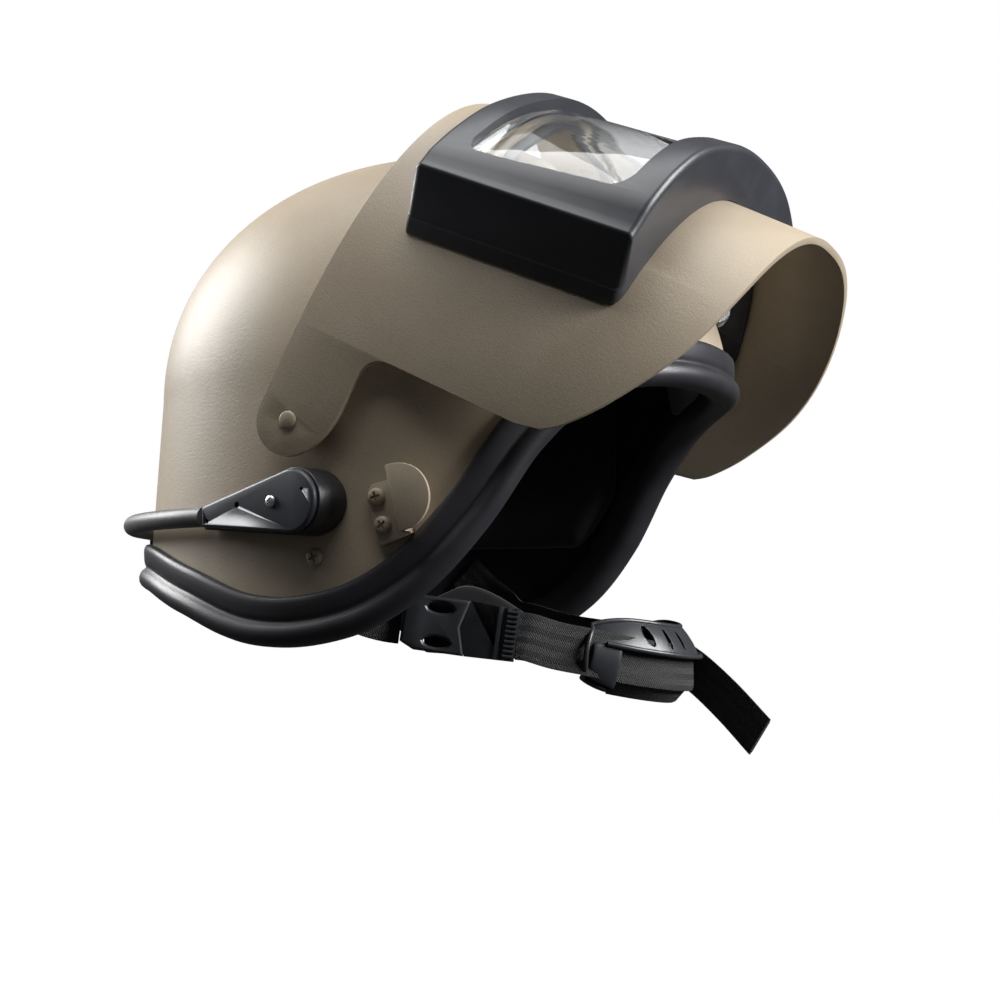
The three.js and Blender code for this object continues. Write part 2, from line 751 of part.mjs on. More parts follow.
function housingBaseBody() {
  const settings = { depth: HOUSING.deep, bevelEnabled: false, curveSegments: 12 };
  const block = new THREE.ExtrudeGeometry(teardrop(0), settings);
  block.applyMatrix4(housingMatrix(HOUSING.cover + GAP + HOUSING.deep));
  return toGeometry(toSolid(block).subtract(CUTTER));
}

function housingCoverBody() {
  const bevel = 0.9;
  const settings = {
    depth: HOUSING.cover - bevel,
    bevelEnabled: true,
    bevelThickness: bevel,
    bevelSize: bevel,
    bevelOffset: -bevel,
    bevelSegments: 1,
    curveSegments: 12,
  };
  const plate = new THREE.ExtrudeGeometry(teardrop(HOUSING.coverInset), settings);
  plate.applyMatrix4(housingMatrix(HOUSING.cover));
  const settingsBack = { depth: 5, bevelEnabled: false, curveSegments: 12 };
  const back = new THREE.ExtrudeGeometry(teardrop(-2), settingsBack);
  back.applyMatrix4(housingMatrix(HOUSING.cover + 5));
  return toGeometry(toSolid(plate).subtract(toSolid(back)));
}

function tubeCurve() {
  const points = [];
  const spots = 13;
  for (let i = 0; i < spots; i += 1) {
    const share = i / (spots - 1);
    const angle = TUBE.startAngle + (360 - 2 * TUBE.startAngle) * share;
    const middle = Math.sin(Math.PI * share) ** 0.8;
    points.push(atHeight(angle, TUBE.height, TUBE.startOut + (TUBE.backOut - TUBE.startOut) * middle));
  }
  return new THREE.CatmullRomCurve3(points);
}

function tubeBody(radius, sides, steps) {
  const section = new THREE.Shape().absarc(0, 0, radius, 0, Math.PI * 2);
  const outline = new THREE.Shape(section.getPoints(sides / 2).slice(0, sides));
  return new THREE.ExtrudeGeometry(outline, { steps, extrudePath: tubeCurve(), bevelEnabled: false });
}

// The tube's ends are cut flat where the housings' tails begin
function cutAtHousings(geometry) {
  const block = new THREE.BoxGeometry(120, 60, 120).translate(HOUSING.tail + GAP - 60, 0, 0);
  block.applyMatrix4(housingMatrix(20));
  return toGeometry(toSolid(geometry).subtract(toSolid(block)).subtract(toSolid(mirrored(block))));
}

// Saddle on the shell that the tube passes through
function clipBody() {
  const middle = atHeight(180, TUBE.height, TUBE.backOut);
  const reach = TUBE.radius + TUBE_CLIP.wall;
  const depth = TUBE.backOut + reach + 4;
  const block = new THREE.BoxGeometry(2 * TUBE_CLIP.half, depth, 2 * reach + TUBE_CLIP.tall);
  block.translate(0, middle.y + reach - (TUBE.backOut + reach + 4) / 2, middle.z);
  return toGeometry(toSolid(block).subtract(toSolid(tubeBody(TUBE.radius + 0.5, 12, 60))).subtract(CUTTER));
}

function rearPlateBody() {
  const layer = (out) => {
    const grid = [];
    for (let r = 0; r <= 2; r += 1) {
      const height = REAR_PLATE.low + ((REAR_PLATE.high - REAR_PLATE.low) * r) / 2;
      const line = [];
      for (let c = 0; c <= 6; c += 1) line.push(atHeight(180 + (REAR_PLATE.half * (c / 3 - 1)), height, out));
      grid.push(line);
    }
    return grid;
  };
  return slabBody(layer(0.5 + REAR_PLATE.thick), layer(0.5));
}

// Webbing along a route, with a point every few millimetres and its width square to both route and face
function stripRoute(route) {
  const curve = new THREE.CatmullRomCurve3(route.map((spot) => new THREE.Vector3(spot.x, spot.y, spot.z)));
  const steps = (route.length - 1) * 2;
  const spots = [];
  for (let i = 0; i <= steps; i += 1) {
    const share = i / steps;
    const place = share * (route.length - 1);
    const k = Math.min(route.length - 2, Math.floor(place));
    const facing = THREE.MathUtils.lerp(route[k].facing, route[k + 1].facing, place - k) * DEGREE;
    const point = curve.getPoint(share);
    const tangent = curve.getTangent(share);
    const face = new THREE.Vector3(-Math.cos(facing), -Math.sin(facing), 0);
    const width = new THREE.Vector3().crossVectors(tangent, face).normalize();
    if (width.z < 0) width.negate();
    const normal = new THREE.Vector3().crossVectors(width, tangent).normalize();
    if (normal.dot(face) < 0) normal.negate();
    spots.push({ point, width, normal });
  }
  return spots;
}

function stripBody(spots) {
  const half = WEBBING.wide / 2;
  const layer = (out) =>
    spots.map(({ point, width, normal }) =>
      [-half, half].map((way) => point.clone().addScaledVector(width, way).addScaledVector(normal, out)),
    );
  return slabBody(layer(WEBBING.thick / 2), layer(-WEBBING.thick / 2));
}

// Anchor of a side strap on the inside of the shell
function sideStrapRoute() {
  const anchor = atHeight(103, -72, -SHELL.wall - WEBBING.thick / 2 - 0.9);
  const below = atHeight(98.5, -82, -SHELL.wall - WEBBING.thick / 2 - 3.4);
  return [
    { x: anchor.x, y: anchor.y, z: anchor.z, facing: -6 },
    { x: below.x, y: below.y, z: below.z, facing: -3 },
    ...SIDE_STRAP,
  ];
}

const mirrorSpot = ({ x, y, z, facing }) => ({ x: -x, y, z, facing: 180 - facing });
const mirrorRoute = (route) => route.map(mirrorSpot);

// The front webbing runs from the buckle round the chin and up to the left side of the shell
function frontStrapRoute() {
  const left = mirrorRoute(FRONT_STRAP.slice(2)).reverse().slice(1);
  const leftJaw = { x: 75, y: -33, z: -104, facing: 160 };
  const leftSide = mirrorRoute(sideStrapRoute()).reverse();
  return [...FRONT_STRAP, ...left, leftJaw, ...leftSide];
}

// The free end lies on the front webbing for a short way and then hangs down off the chin
function tailSpots() {
  const front = stripRoute(frontStrapRoute());
  const lapEnd = 2 * FRONT_STRAP.length + 2;
  const lap = front.slice(lapEnd, lapEnd + 3).reverse().map(({ point, width, normal }) => ({
    point: point.clone().addScaledVector(normal, WEBBING.thick + 1.5 * GAP),
    width,
    normal,
  }));
  const last = lap[lap.length - 1].point;
  const free = stripRoute([{ x: last.x, y: last.y, z: last.z, facing: 140 }, ...TAIL]);
  return [...lap, ...free.slice(1)];
}

function cupBody() {
  const first = 2 * 3;
  const spots = stripRoute(frontStrapRoute()).slice(first, 4 * (FRONT_STRAP.length - 1) - first + 1);
  const rows = 4;
  const layer = (out) =>
    spots.map(({ point, width, normal }, i) => {
      const share = (2 * i) / (spots.length - 1) - 1;
      const line = [];
      for (let r = 0; r <= rows; r += 1) {
        const part = r / rows;
        const narrow = 1 - 0.3 * share ** 6;
        const up = (CUP.low + (CUP.high - CUP.low) * part) * narrow;
        const curl = CUP.curl * (2 * part - 1) ** 4;
        line.push(point.clone().addScaledVector(width, up).addScaledVector(normal, out - curl));
      }
      return line;
    });
  return slabBody(layer(-CUP.inward), layer(-CUP.inward - CUP.thick));
}

// The buckle's own frame: along the strap, up and outward
function buckleMatrix() {
  const from = new THREE.Vector3(...BUCKLE.from);
  const along = buckleAlong();
  const outward = along.clone().cross(new THREE.Vector3(0, 0, 1)).normalize();
  const upward = outward.clone().cross(along);
  return new THREE.Matrix4().makeBasis(along, upward, outward).setPosition(from);
}

function buckleAlong() {
  return new THREE.Vector3(...BUCKLE.to).sub(new THREE.Vector3(...BUCKLE.from)).normalize();
}

function buckleLength() {
  return new THREE.Vector3(...BUCKLE.to).distanceTo(new THREE.Vector3(...BUCKLE.from));
}

// Spot of webbing in line with the buckle, measured along it from its back end
function buckleSpot(distance) {
  const along = buckleAlong();
  const place = new THREE.Vector3(...BUCKLE.from).addScaledVector(along, distance);
  return { x: place.x, y: place.y, z: place.z, facing: Math.atan2(along.x, -along.y) / DEGREE };
}

function buckleSocketBody() {
  const half = BUCKLE.tall / 2;
  const shape = new THREE.Shape();
  shape.moveTo(0, -half * 0.75);
  shape.lineTo(6, -half);
  shape.lineTo(BUCKLE.socket, -half);
  shape.lineTo(BUCKLE.socket - 3, 0);
  shape.lineTo(BUCKLE.socket, half);
  shape.lineTo(6, half);
  shape.lineTo(0, half * 0.75);
  const window = (sign) => {
    const hole = new THREE.Path();
    hole.absellipse(15, sign * half * 0.62, 5.5, 2.2, 0, Math.PI * 2);
    return hole;
  };
  shape.holes.push(window(1), window(-1));
  const settings = {
    depth: BUCKLE.thick - 2,
    bevelEnabled: true,
    bevelThickness: 1,
    bevelSize: 1,
    bevelOffset: -1,
    bevelSegments: 1,
    curveSegments: 6,
  };
  const block = new THREE.ExtrudeGeometry(shape, settings).translate(0, 0, -BUCKLE.thick / 2 + 1);
  block.applyMatrix4(buckleMatrix());
  return toGeometry(toSolid(block));
}

function buckleClipBody() {
  const half = BUCKLE.tall / 2;
  const end = buckleLength();
  const start = BUCKLE.socket + GAP;
  const blocks = [];
  const shape = new THREE.Shape();
  shape.moveTo(start, -half);
  shape.lineTo(end, -half * 0.96);
  shape.lineTo(end, half * 0.96);
  shape.lineTo(start, half);
  shape.lineTo(start - 3, 0);
  const settings = { depth: BUCKLE.thick - 2.6, bevelEnabled: false };
  blocks.push(new THREE.ExtrudeGeometry(shape, settings).translate(0, 0, -BUCKLE.thick / 2 + 1.3));
  for (let rib = 0; rib < 3; rib += 1) {
    const bar = new THREE.BoxGeometry(1.8, BUCKLE.tall * 0.96, BUCKLE.thick - 0.8);
    blocks.push(bar.translate(end - 1.2 - rib * 3.4, 0, 0));
  }
  const matrix = buckleMatrix();
  let joined = toSolid(blocks[0].applyMatrix4(matrix));
  for (const block of blocks.slice(1)) joined = joined.add(toSolid(block.applyMatrix4(matrix)));
  return toGeometry(joined);
}

// Soft backing behind the buckle and the first stretch of webbing
function backingBody() {
  const beyond = { x: -56, y: -70, z: -109, facing: 34 };
  const spots = [buckleSpot(9), buckleSpot(28), buckleSpot(buckleLength()), beyond];
  const steps = stripRoute(spots);
  const heights = [
    { part: 0, high: -90 },
    { part: 0.35, high: -84 },
    { part: 1, high: -100 },
  ];
  const layer = (out) =>
    steps.map(({ point, normal }, i) => {
      const part = i / (steps.length - 1);
      const high = readTable(heights, "part", "high", part);
      const low = BACKING.low - 4 * part;
      return [low, (low + high) / 2, high].map((height) => {
        const spot = point.clone().addScaledVector(normal, out);
        return spot.setZ(height);
      });
    });
  return slabBody(layer(-BACKING.inward), layer(-BACKING.inward - BACKING.thick));
}

// Assembly
const helmet = new THREE.Group();
helmet.position.set(0, 0, -CROWN_SEAT);

function add(parent, name, geometry, material) {
  const mesh = new THREE.Mesh(geometry, material);
  mesh.name = name;
  parent.add(mesh);
  return mesh;
}

add(helmet, "shell", shellBody(), tanPaint());
add(helmet, "rim_trim", trimBody(), rubber());

const overTrim = (rise) => (degrees) => edgeHeight(degrees * DEGREE) + rise;
add(helmet, "pad_front", padBody(-40, 40, overTrim(-3), 62, PAD.besideTrim, 10, 4), blackPadding());
const sideLow = (degrees) => Math.max(-60, edgeHeight(degrees * DEGREE) + 17);
add(helmet, "pad_right", padBody(66, 118, sideLow, 20, PAD.besideShell), blackPadding());
add(helmet, "pad_left", padBody(-118, -66, sideLow, 20, PAD.besideShell), blackPadding());
add(helmet, "pad_rear", padBody(142, 218, () => -60, 20, PAD.besideShell), blackPadding());
add(helmet, "pad_crown", crownPadBody(), blackPadding());

const surfaceAtHinge = Math.abs(atHeight(100, HINGE.z).x);
const rivet = rivetBody(surfaceAtHinge);
add(helmet, "hinge_rivet_right", rivet, tanPaint());
add(helmet, "hinge_rivet_left", mirrored(rivet), tanPaint());

const tab = tabBody();
add(helmet, "stop_tab_right", tab, tanPaint());
add(helmet, "stop_tab_left", mirrored(tab), tanPaint());
TAB_SCREWS.forEach(({ along, up }, i) => {
  const screw = headBody(PAN_HEAD.radius, PAN_HEAD.tall);
  screw.translate(along, up, TAB.sheet + GAP);
  screw.applyMatrix4(tabMatrix(TAB.baseOut));
  add(helmet, `tab_screw_right_${i + 1}`, screw, tanPaint());
  add(helmet, `tab_screw_left_${i + 1}`, mirrored(screw), tanPaint());
});

const earScrew = headBody(PAN_HEAD.radius, PAN_HEAD.tall);
earScrew.applyQuaternion(
  new THREE.Quaternion().setFromUnitVectors(
    Z,
    surfaceNormal(EAR_SCREW.angle * DEGREE, climbOf(EAR_SCREW.height)),
  ),
);
const earSpot = atHeight(EAR_SCREW.angle, EAR_SCREW.height, GAP);
earScrew.translate(earSpot.x, earSpot.y, earSpot.z);
add(helmet, "ear_screw_right", earScrew, tanPaint());
add(helmet, "ear_screw_left", mirrored(earScrew), tanPaint());

const housingBase = housingBaseBody();
const housingCover = housingCoverBody();
const coverScrew = headBody(COVER_HEAD.radius, COVER_HEAD.tall);
coverScrew.translate(COVER_HEAD.behind, 0, GAP);
coverScrew.applyMatrix4(housingMatrix(0));
add(helmet, "housing_right", housingBase, blackPlastic());
add(helmet, "housing_left", mirrored(housingBase), blackPlastic());
add(helmet, "housing_cover_right", housingCover, slatePlastic());
add(helmet, "housing_cover_left", mirrored(housingCover), slatePlastic());
add(helmet, "housing_screw_right", coverScrew, steel());
add(helmet, "housing_screw_left", mirrored(coverScrew), steel());

add(helmet, "rear_tube", cutAtHousings(tubeBody(TUBE.radius, 8, TUBE.steps)), greyTube());
add(helmet, "tube_clip", clipBody(), blackPlastic());
add(helmet, "rear_plate", rearPlateBody(), tanPaint());

add(helmet, "strap_right", stripBody(stripRoute(sideStrapRoute())), blackWebbing());
add(helmet, "buckle_socket", buckleSocketBody(), blackPlastic());
add(helmet, "buckle_clip", buckleClipBody(), blackPlastic());
add(helmet, "strap_front", stripBody(stripRoute(frontStrapRoute())), blackWebbing());
add(helmet, "buckle_backing", backingBody(), blackPadding());
add(helmet, "chin_cup", cupBody(), blackPlastic());
add(helmet, "strap_tail", stripBody(tailSpots()), blackWebbing());

const visor = new THREE.Group();
visor.position.set(0, HINGE.y, HINGE.z);
visor.rotation.x = -RAISED * DEGREE;
helmet.add(visor);
add(visor, "visor_plate", visorPlateBody(), tanPaint());
add(visor, "window_frame", windowFrameBody(), frameRubber());
add(visor, "window_glass", windowGlassBody(), clearGlass());
add(visor, "window_bezel", bezelBody(), rubber());
BEZEL_BOLTS.forEach(({ side, drop }, i) => {
  const turn = turnAt(side);
  const place = arch(turn, -VISOR.sheet - GAP - BEZEL.thick - GAP);
  const deeper = arch(turn, -VISOR.sheet - GAP - BEZEL.thick - GAP - 1);
  const inward = new THREE.Vector3(deeper.x - place.x, place.y - deeper.y, 0).normalize();
  const bolt = headBody(3, 1.8, 6);
  bolt.applyQuaternion(new THREE.Quaternion().setFromUnitVectors(Z, inward));
  bolt.translate(place.x, -place.y, -drop);
  add(visor, `bezel_bolt_${i + 1}`, bolt, steel());
});

export default helmet;
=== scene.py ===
# %% [markdown]
# A ballistic helmet with a raised visor, dressed over its CAD frame.
# The CAD model gives every main size. This lesson rebuilds the visible pieces with finer meshes and
# gives each one a finish made of shader nodes, so that it reads as painted shell, rubber and webbing.

import math

import bmesh
import bpy
import numpy as np
from mathutils import Matrix, Vector


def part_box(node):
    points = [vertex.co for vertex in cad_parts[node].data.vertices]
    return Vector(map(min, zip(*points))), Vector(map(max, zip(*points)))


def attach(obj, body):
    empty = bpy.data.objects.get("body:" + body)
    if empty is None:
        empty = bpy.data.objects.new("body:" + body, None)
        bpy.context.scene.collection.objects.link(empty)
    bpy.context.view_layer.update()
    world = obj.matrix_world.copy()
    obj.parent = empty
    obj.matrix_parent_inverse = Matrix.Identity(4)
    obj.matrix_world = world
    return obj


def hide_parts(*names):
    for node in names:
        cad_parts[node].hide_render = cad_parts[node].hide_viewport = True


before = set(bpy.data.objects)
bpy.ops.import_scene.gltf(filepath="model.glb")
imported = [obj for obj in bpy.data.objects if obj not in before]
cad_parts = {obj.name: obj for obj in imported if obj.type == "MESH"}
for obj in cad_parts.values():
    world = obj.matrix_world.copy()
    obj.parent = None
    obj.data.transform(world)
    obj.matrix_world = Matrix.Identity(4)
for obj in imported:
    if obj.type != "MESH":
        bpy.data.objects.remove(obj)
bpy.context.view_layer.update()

# %% [markdown]
# A camera is placed by its position and by the way it looks. This one stands on the wearer's right,
# a little in front and a little below, and looks slightly up, which is how the photograph was taken.
# The lens is long, so the near and far sides of the helmet come out at almost the same scale.

# %% Camera
def add_object(name, data):
    obj = bpy.data.objects.new(name, data)
    bpy.context.collection.objects.link(obj)
    return obj


SEAT = 90.9
MM = 0.001
VIEW_AZIMUTH = math.radians(-70.5)
VIEW_RISE = math.radians(-4.2)
VIEW_FROM = (-835.5, -320.3, -108.2 - SEAT)

camera_data = bpy.data.cameras.new("camera")
camera_data.sensor_width = 36
camera_data.lens = 70.3
camera_data.clip_start = 0.05
camera_data.clip_end = 50
camera = add_object("camera", camera_data)
camera.location = Vector(VIEW_FROM) * MM
back = Vector((
    math.sin(VIEW_AZIMUTH) * math.cos(VIEW_RISE),
    -math.cos(VIEW_AZIMUTH) * math.cos(VIEW_RISE),
    math.sin(VIEW_RISE),
))
camera.rotation_mode = "QUATERNION"
camera.rotation_quaternion = (-back).to_track_quat("-Z", "Y")
bpy.context.scene.camera = camera

# %% [markdown]
# The shell is an oval dome. Its plan is a superellipse, a rounded shape between an ellipse and a box,
# and it shrinks towards the crown. One function gives any point of it from an angle and a height, so
# the shell, the trim, the pads and the fittings all agree without any fitting by eye.

# %% Sizes of the shell, in millimetres
SHELL = dict(half=117, front=127.5, back=131, dome=113, wall=9, plan=2.15, up=2.1, side=0.02, rear=0.075)
RIM_EDGE = [
    (0, 9), (30, 7), (46, -3), (58, -25), (68, -56), (79, -82),
    (92, -98), (106, -99.5), (124, -87), (145, -76), (180, -75),
]


def signed_power(value, power):
    return np.sign(value) * np.abs(value) ** power


def unit(vectors):
    return vectors / np.maximum(np.linalg.norm(vectors, axis=-1, keepdims=True), 1e-12)


# %% A smooth curve through a table
def read_table(rows, at):
    keys = np.array([row[0] for row in rows], float)
    values = np.array([row[1] for row in rows], float)
    slopes = np.zeros(len(rows))
    slopes[1:-1] = (values[2:] - values[:-2]) / (keys[2:] - keys[:-2])
    at = np.clip(np.asarray(at, float), keys[0], keys[-1])
    i = np.clip(np.searchsorted(keys, at, side="left") - 1, 0, len(rows) - 2)
    span = keys[i + 1] - keys[i]
    t = (at - keys[i]) / span
    rise = t * t * (3 - 2 * t)
    bend_start = t * (1 - t) ** 2 * span * slopes[i]
    bend_end = t * t * (t - 1) * span * slopes[i + 1]
    return values[i] * (1 - rise) + values[i + 1] * rise + bend_start + bend_end


# %% The shell's surface
def surface(angle, climb):
    angle, climb = np.broadcast_arrays(np.asarray(angle, float), np.asarray(climb, float))
    height = np.where(climb < 0, SHELL["dome"] * climb, SHELL["dome"] * np.sin(climb))
    level = np.maximum(0, height) / SHELL["dome"]
    shrink = np.maximum(0, 1 - level ** SHELL["up"]) ** (1 / SHELL["up"])
    below = np.maximum(0, -height)
    sine = signed_power(np.sin(angle), 2 / SHELL["plan"])
    cosine = signed_power(np.cos(angle), 2 / SHELL["plan"])
    wide = SHELL["half"] * shrink + SHELL["side"] * below
    long = np.where(cosine > 0, SHELL["front"] * shrink, SHELL["back"] * shrink + SHELL["rear"] * below)
    return np.stack([-wide * sine, -long * cosine, height], -1)


def surface_normal(angle, climb, step=0.012):
    angle, climb = np.broadcast_arrays(np.asarray(angle, float), np.asarray(climb, float))
    around = surface(angle + step, climb) - surface(angle - step, climb)
    upward = surface(angle, climb + step) - surface(angle, climb - step)
    normal = unit(np.cross(around, upward))
    flip = np.sign(np.sum(normal * surface(angle, climb), -1, keepdims=True))
    normal = normal * np.where(flip == 0, 1, flip)
    return np.where((climb > math.pi / 2 - 0.02)[..., None], np.array([0.0, 0.0, 1.0]), normal)


def on_shell(angle, climb, out=0.0):
    return surface(angle, climb) + surface_normal(angle, climb) * np.asarray(out, float)[..., None]


def climb_of(height):
    height = np.asarray(height, float)
    return np.where(height < 0, height / SHELL["dome"], np.arcsin(np.clip(height / SHELL["dome"], -1, 1)))


def at_height(degrees, height, out=0.0):
    return on_shell(np.radians(degrees), climb_of(height), out)


def edge_height(angle):
    turn = np.abs((np.degrees(angle) + 180) % 360 - 180)
    return read_table(RIM_EDGE, turn)


# %% [markdown]
# Rings spaced evenly along the cut edge give faces of one size all round, which shade more evenly than
# rings spaced by angle.

# %% Even stations round the rim
def rim_stations(count):
    fine = np.linspace(-math.pi, math.pi, 2881)
    line = on_shell(fine, climb_of(edge_height(fine)))
    reached = np.concatenate([[0], np.cumsum(np.linalg.norm(np.diff(line, axis=0), axis=1))])
    return np.interp(np.linspace(0, reached[-1], count, endpoint=False), reached, fine)


STATIONS = rim_stations(260)
print("rim stations", len(STATIONS))

# %% [markdown]
# Every piece here is made the same way: a list of points and faces becomes a mesh, the faces are
# turned outwards, and smooth shading is broken only where two faces meet at a sharp angle.

# %% Making a piece
def to_part(points):
    return (np.asarray(points, float) - [0, 0, SEAT]) * MM


def make_mesh(name, points, faces, sharp=35, recalc=True):
    mesh = bpy.data.meshes.new(name)
    mesh.from_pydata([tuple(p) for p in points], [], faces)
    if recalc:
        work = bmesh.new()
        work.from_mesh(mesh)
        bmesh.ops.remove_doubles(work, verts=work.verts, dist=1e-6)
        bmesh.ops.recalc_face_normals(work, faces=work.faces)
        work.to_mesh(mesh)
        work.free()
    mesh.polygons.foreach_set("use_smooth", [True] * len(mesh.polygons))
    mesh.set_sharp_from_angle(angle=math.radians(sharp))
    return add_object(name, mesh)


def dress(obj, material, body, *nodes, slot=None):
    if material is not None:
        obj.data.materials.clear()
        obj.data.materials.append(material)
    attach(obj, body)
    if nodes:
        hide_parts(*nodes)
    return obj


def baked(obj, sharp=35):
    graph = bpy.context.evaluated_depsgraph_get()
    mesh = bpy.data.meshes.new_from_object(obj.evaluated_get(graph))
    obj.modifiers.clear()
    obj.data = mesh
    mesh.polygons.foreach_set("use_smooth", [True] * len(mesh.polygons))
    mesh.set_sharp_from_angle(angle=math.radians(sharp))
    return obj


# %% Rings, slabs and cutters
def ring_faces(rings, count, closed=True):
    faces = []
    for r in range(rings if closed else rings - 1):
        after = (r + 1) % rings
        for j in range(count):
            k = (j + 1) % count
            faces.append((r * count + j, r * count + k, after * count + k, after * count + j))
    return faces


def slab(outer, inner):
    rows, columns = outer.shape[:2]
    points = np.concatenate([outer.reshape(-1, 3), inner.reshape(-1, 3)])
    half = rows * columns
    faces = []
    for r in range(rows - 1):
        for c in range(columns - 1):
            a = r * columns + c
            faces.append((a, a + 1, a + columns + 1, a + columns))
            faces.append((half + a, half + a + columns, half + a + columns + 1, half + a + 1))
    for c in range(columns - 1):
        last = (rows - 1) * columns + c
        faces.append((c, half + c, half + c + 1, c + 1))
        faces.append((last, last + 1, half + last + 1, half + last))
    for r in range(rows - 1):
        a = r * columns
        b = a + columns - 1
        faces.append((a, a + columns, half + a + columns, half + a))
        faces.append((b, half + b, half + b + columns, b + columns))
    return points, faces


def prism(name, outline, place, start, end):
    """A straight block of an outline: place turns its two numbers and a length into a point."""
    count = len(outline)
    points = [place(a, b, start) for a, b in outline] + [place(a, b, end) for a, b in outline]
    faces = [tuple(range(count)), tuple(range(2 * count - 1, count - 1, -1))]
    faces += [(j, (j + 1) % count, count + (j + 1) % count, count + j) for j in range(count)]
    return make_mesh(name, points, faces)


def carve(obj, other, operation="DIFFERENCE"):
    tool = obj.modifiers.new("carve", "BOOLEAN")
    tool.operation = operation
    tool.solver = "EXACT"
    tool.object = other
    baked(obj)
    bpy.data.objects.remove(other)
    return obj


def soften(obj, width, segments=2, angle=30, sharp=35, dissolve=None, weld=0.002):
    if dissolve:
        work = bmesh.new()
        work.from_mesh(obj.data)
        bmesh.ops.remove_doubles(work, verts=work.verts, dist=weld * MM)
        flat = math.radians(dissolve)
        bmesh.ops.dissolve_limit(work, angle_limit=flat, verts=work.verts, edges=work.edges)
        work.to_mesh(obj.data)
        work.free()
    bevel = obj.modifiers.new("bevel", "BEVEL")
    bevel.width = width * MM
    bevel.segments = segments
    bevel.limit_method = "ANGLE"
    bevel.angle_limit = math.radians(angle)
    bevel.miter_outer = "MITER_ARC"
    bevel.harden_normals = False
    return baked(obj, sharp)


def softened_copy(node, name, width, segments=2, angle=30, dissolve=1.0):
    """A finer copy of a CAD solid: its flat faces are joined and its edges are rounded."""
    obj = add_object(name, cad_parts[node].data.copy())
    return soften(obj, width, segments, angle, dissolve=dissolve)


# %% [markdown]
# Finishes. A real surface is never one flat colour: paint has grain and slow patches, rubber takes
# dust, moulded plastic is finely pitted. Each finish mixes two colours by a slow noise and shapes the
# light with a fine bump. Noise reads Object coordinates, which are metres here, so a scale of 1000
# makes spots about a millimetre wide.

# %% Building a finish
def node_maker(material):
    material.use_nodes = True
    tree = material.node_tree
    shader = tree.nodes["Principled BSDF"]

    def node(kind, inputs=None, **settings):
        made = tree.nodes.new(kind)
        for key, value in settings.items():
            setattr(made, key, value)
        for key, value in (inputs or {}).items():
            if isinstance(value, bpy.types.NodeSocket):
                tree.links.new(value, made.inputs[key])
            else:
                made.inputs[key].default_value = value
        return made

    return tree, shader, node


def finish(name, light, dark, rough, grain, depth, patch=0.03, metal=0.0, speck=0.0, coat=0.0, sheen=0.0):
    """light and dark are the two colours, grain and patch are sizes in metres, depth is the bump."""
    material = bpy.data.materials.new(name)
    tree, shader, node = node_maker(material)
    place = node("ShaderNodeTexCoord").outputs["Object"]
    slow_noise = {"Vector": place, "Scale": 1 / patch, "Detail": 4.0, "Roughness": 0.6}
    slow = node("ShaderNodeTexNoise", slow_noise)
    fine_noise = {"Vector": place, "Scale": 1 / grain, "Detail": 3.0, "Roughness": 0.65}
    fine = node("ShaderNodeTexNoise", fine_noise)
    ramp = node("ShaderNodeMapRange", {0: slow.outputs[0], 1: 0.34, 2: 0.68})
    mix = node("ShaderNodeMix", {0: ramp.outputs[0], 6: (*dark, 1), 7: (*light, 1)}, data_type="RGBA")
    grainy = node("ShaderNodeMapRange", {0: fine.outputs[0], 1: 0.3, 2: 0.7, 3: 1 - speck, 4: 1 + speck})
    tint = node("ShaderNodeMix", {0: 1.0, 6: mix.outputs[2]}, data_type="RGBA", blend_type="MULTIPLY")
    tree.links.new(grainy.outputs[0], tint.inputs[7])
    tree.links.new(tint.outputs[2], shader.inputs["Base Color"])
    span = {0: fine.outputs[0], 1: 0.3, 2: 0.7, 3: rough - 0.06, 4: rough + 0.06}
    gloss = node("ShaderNodeMapRange", span)
    tree.links.new(gloss.outputs[0], shader.inputs["Roughness"])
    bump = node("ShaderNodeBump", {"Height": fine.outputs[0], "Strength": 0.6, "Distance": depth})
    tree.links.new(bump.outputs[0], shader.inputs["Normal"])
    shader.inputs["Metallic"].default_value = metal
    shader.inputs["Coat Weight"].default_value = coat
    shader.inputs["Coat Roughness"].default_value = 0.25
    shader.inputs["Sheen Weight"].default_value = sheen
    return material


# %% The finishes
paint = finish(
    "tan paint", (0.40, 0.335, 0.25), (0.36, 0.295, 0.215), 0.46, 0.0009, 0.00020, 0.05, speck=0.06
)
lining = finish("inner lining", (0.012, 0.012, 0.013), (0.008, 0.008, 0.009), 0.8, 0.0011, 0.0002)
trim_rubber = finish(
    "trim rubber", (0.030, 0.030, 0.036), (0.020, 0.020, 0.025), 0.42, 0.0007, 0.00006, 0.02
)
frame_rubber = finish(
    "frame rubber", (0.036, 0.038, 0.046), (0.027, 0.029, 0.036), 0.38, 0.0006, 0.00005, 0.02
)
slate = finish("slate cover", (0.034, 0.037, 0.048), (0.026, 0.028, 0.038), 0.42, 0.0005, 0.00005, 0.012)
black = finish("black plastic", (0.014, 0.014, 0.016), (0.010, 0.010, 0.012), 0.38, 0.0005, 0.00004, 0.012)
cup_black = finish("cup plastic", (0.042, 0.044, 0.050), (0.030, 0.032, 0.037), 0.32, 0.0006, 0.00005, 0.012)
tube_grey = finish("tube grey", (0.135, 0.130, 0.132), (0.10, 0.098, 0.10), 0.45, 0.0006, 0.00005, 0.01)
steel = finish(
    "screw steel", (0.78, 0.78, 0.80), (0.66, 0.66, 0.69), 0.34, 0.0004, 0.00002, 0.004, metal=1.0
)
brass = finish("bolt brass", (0.72, 0.64, 0.48), (0.60, 0.53, 0.38), 0.28, 0.0004, 0.00002, 0.004, metal=1.0)
pad_cloth = finish(
    "pad cloth", (0.013, 0.013, 0.015), (0.008, 0.008, 0.009), 0.9, 0.0006, 0.0003, 0.01, sheen=0.3
)
print("finishes", len(bpy.data.materials))

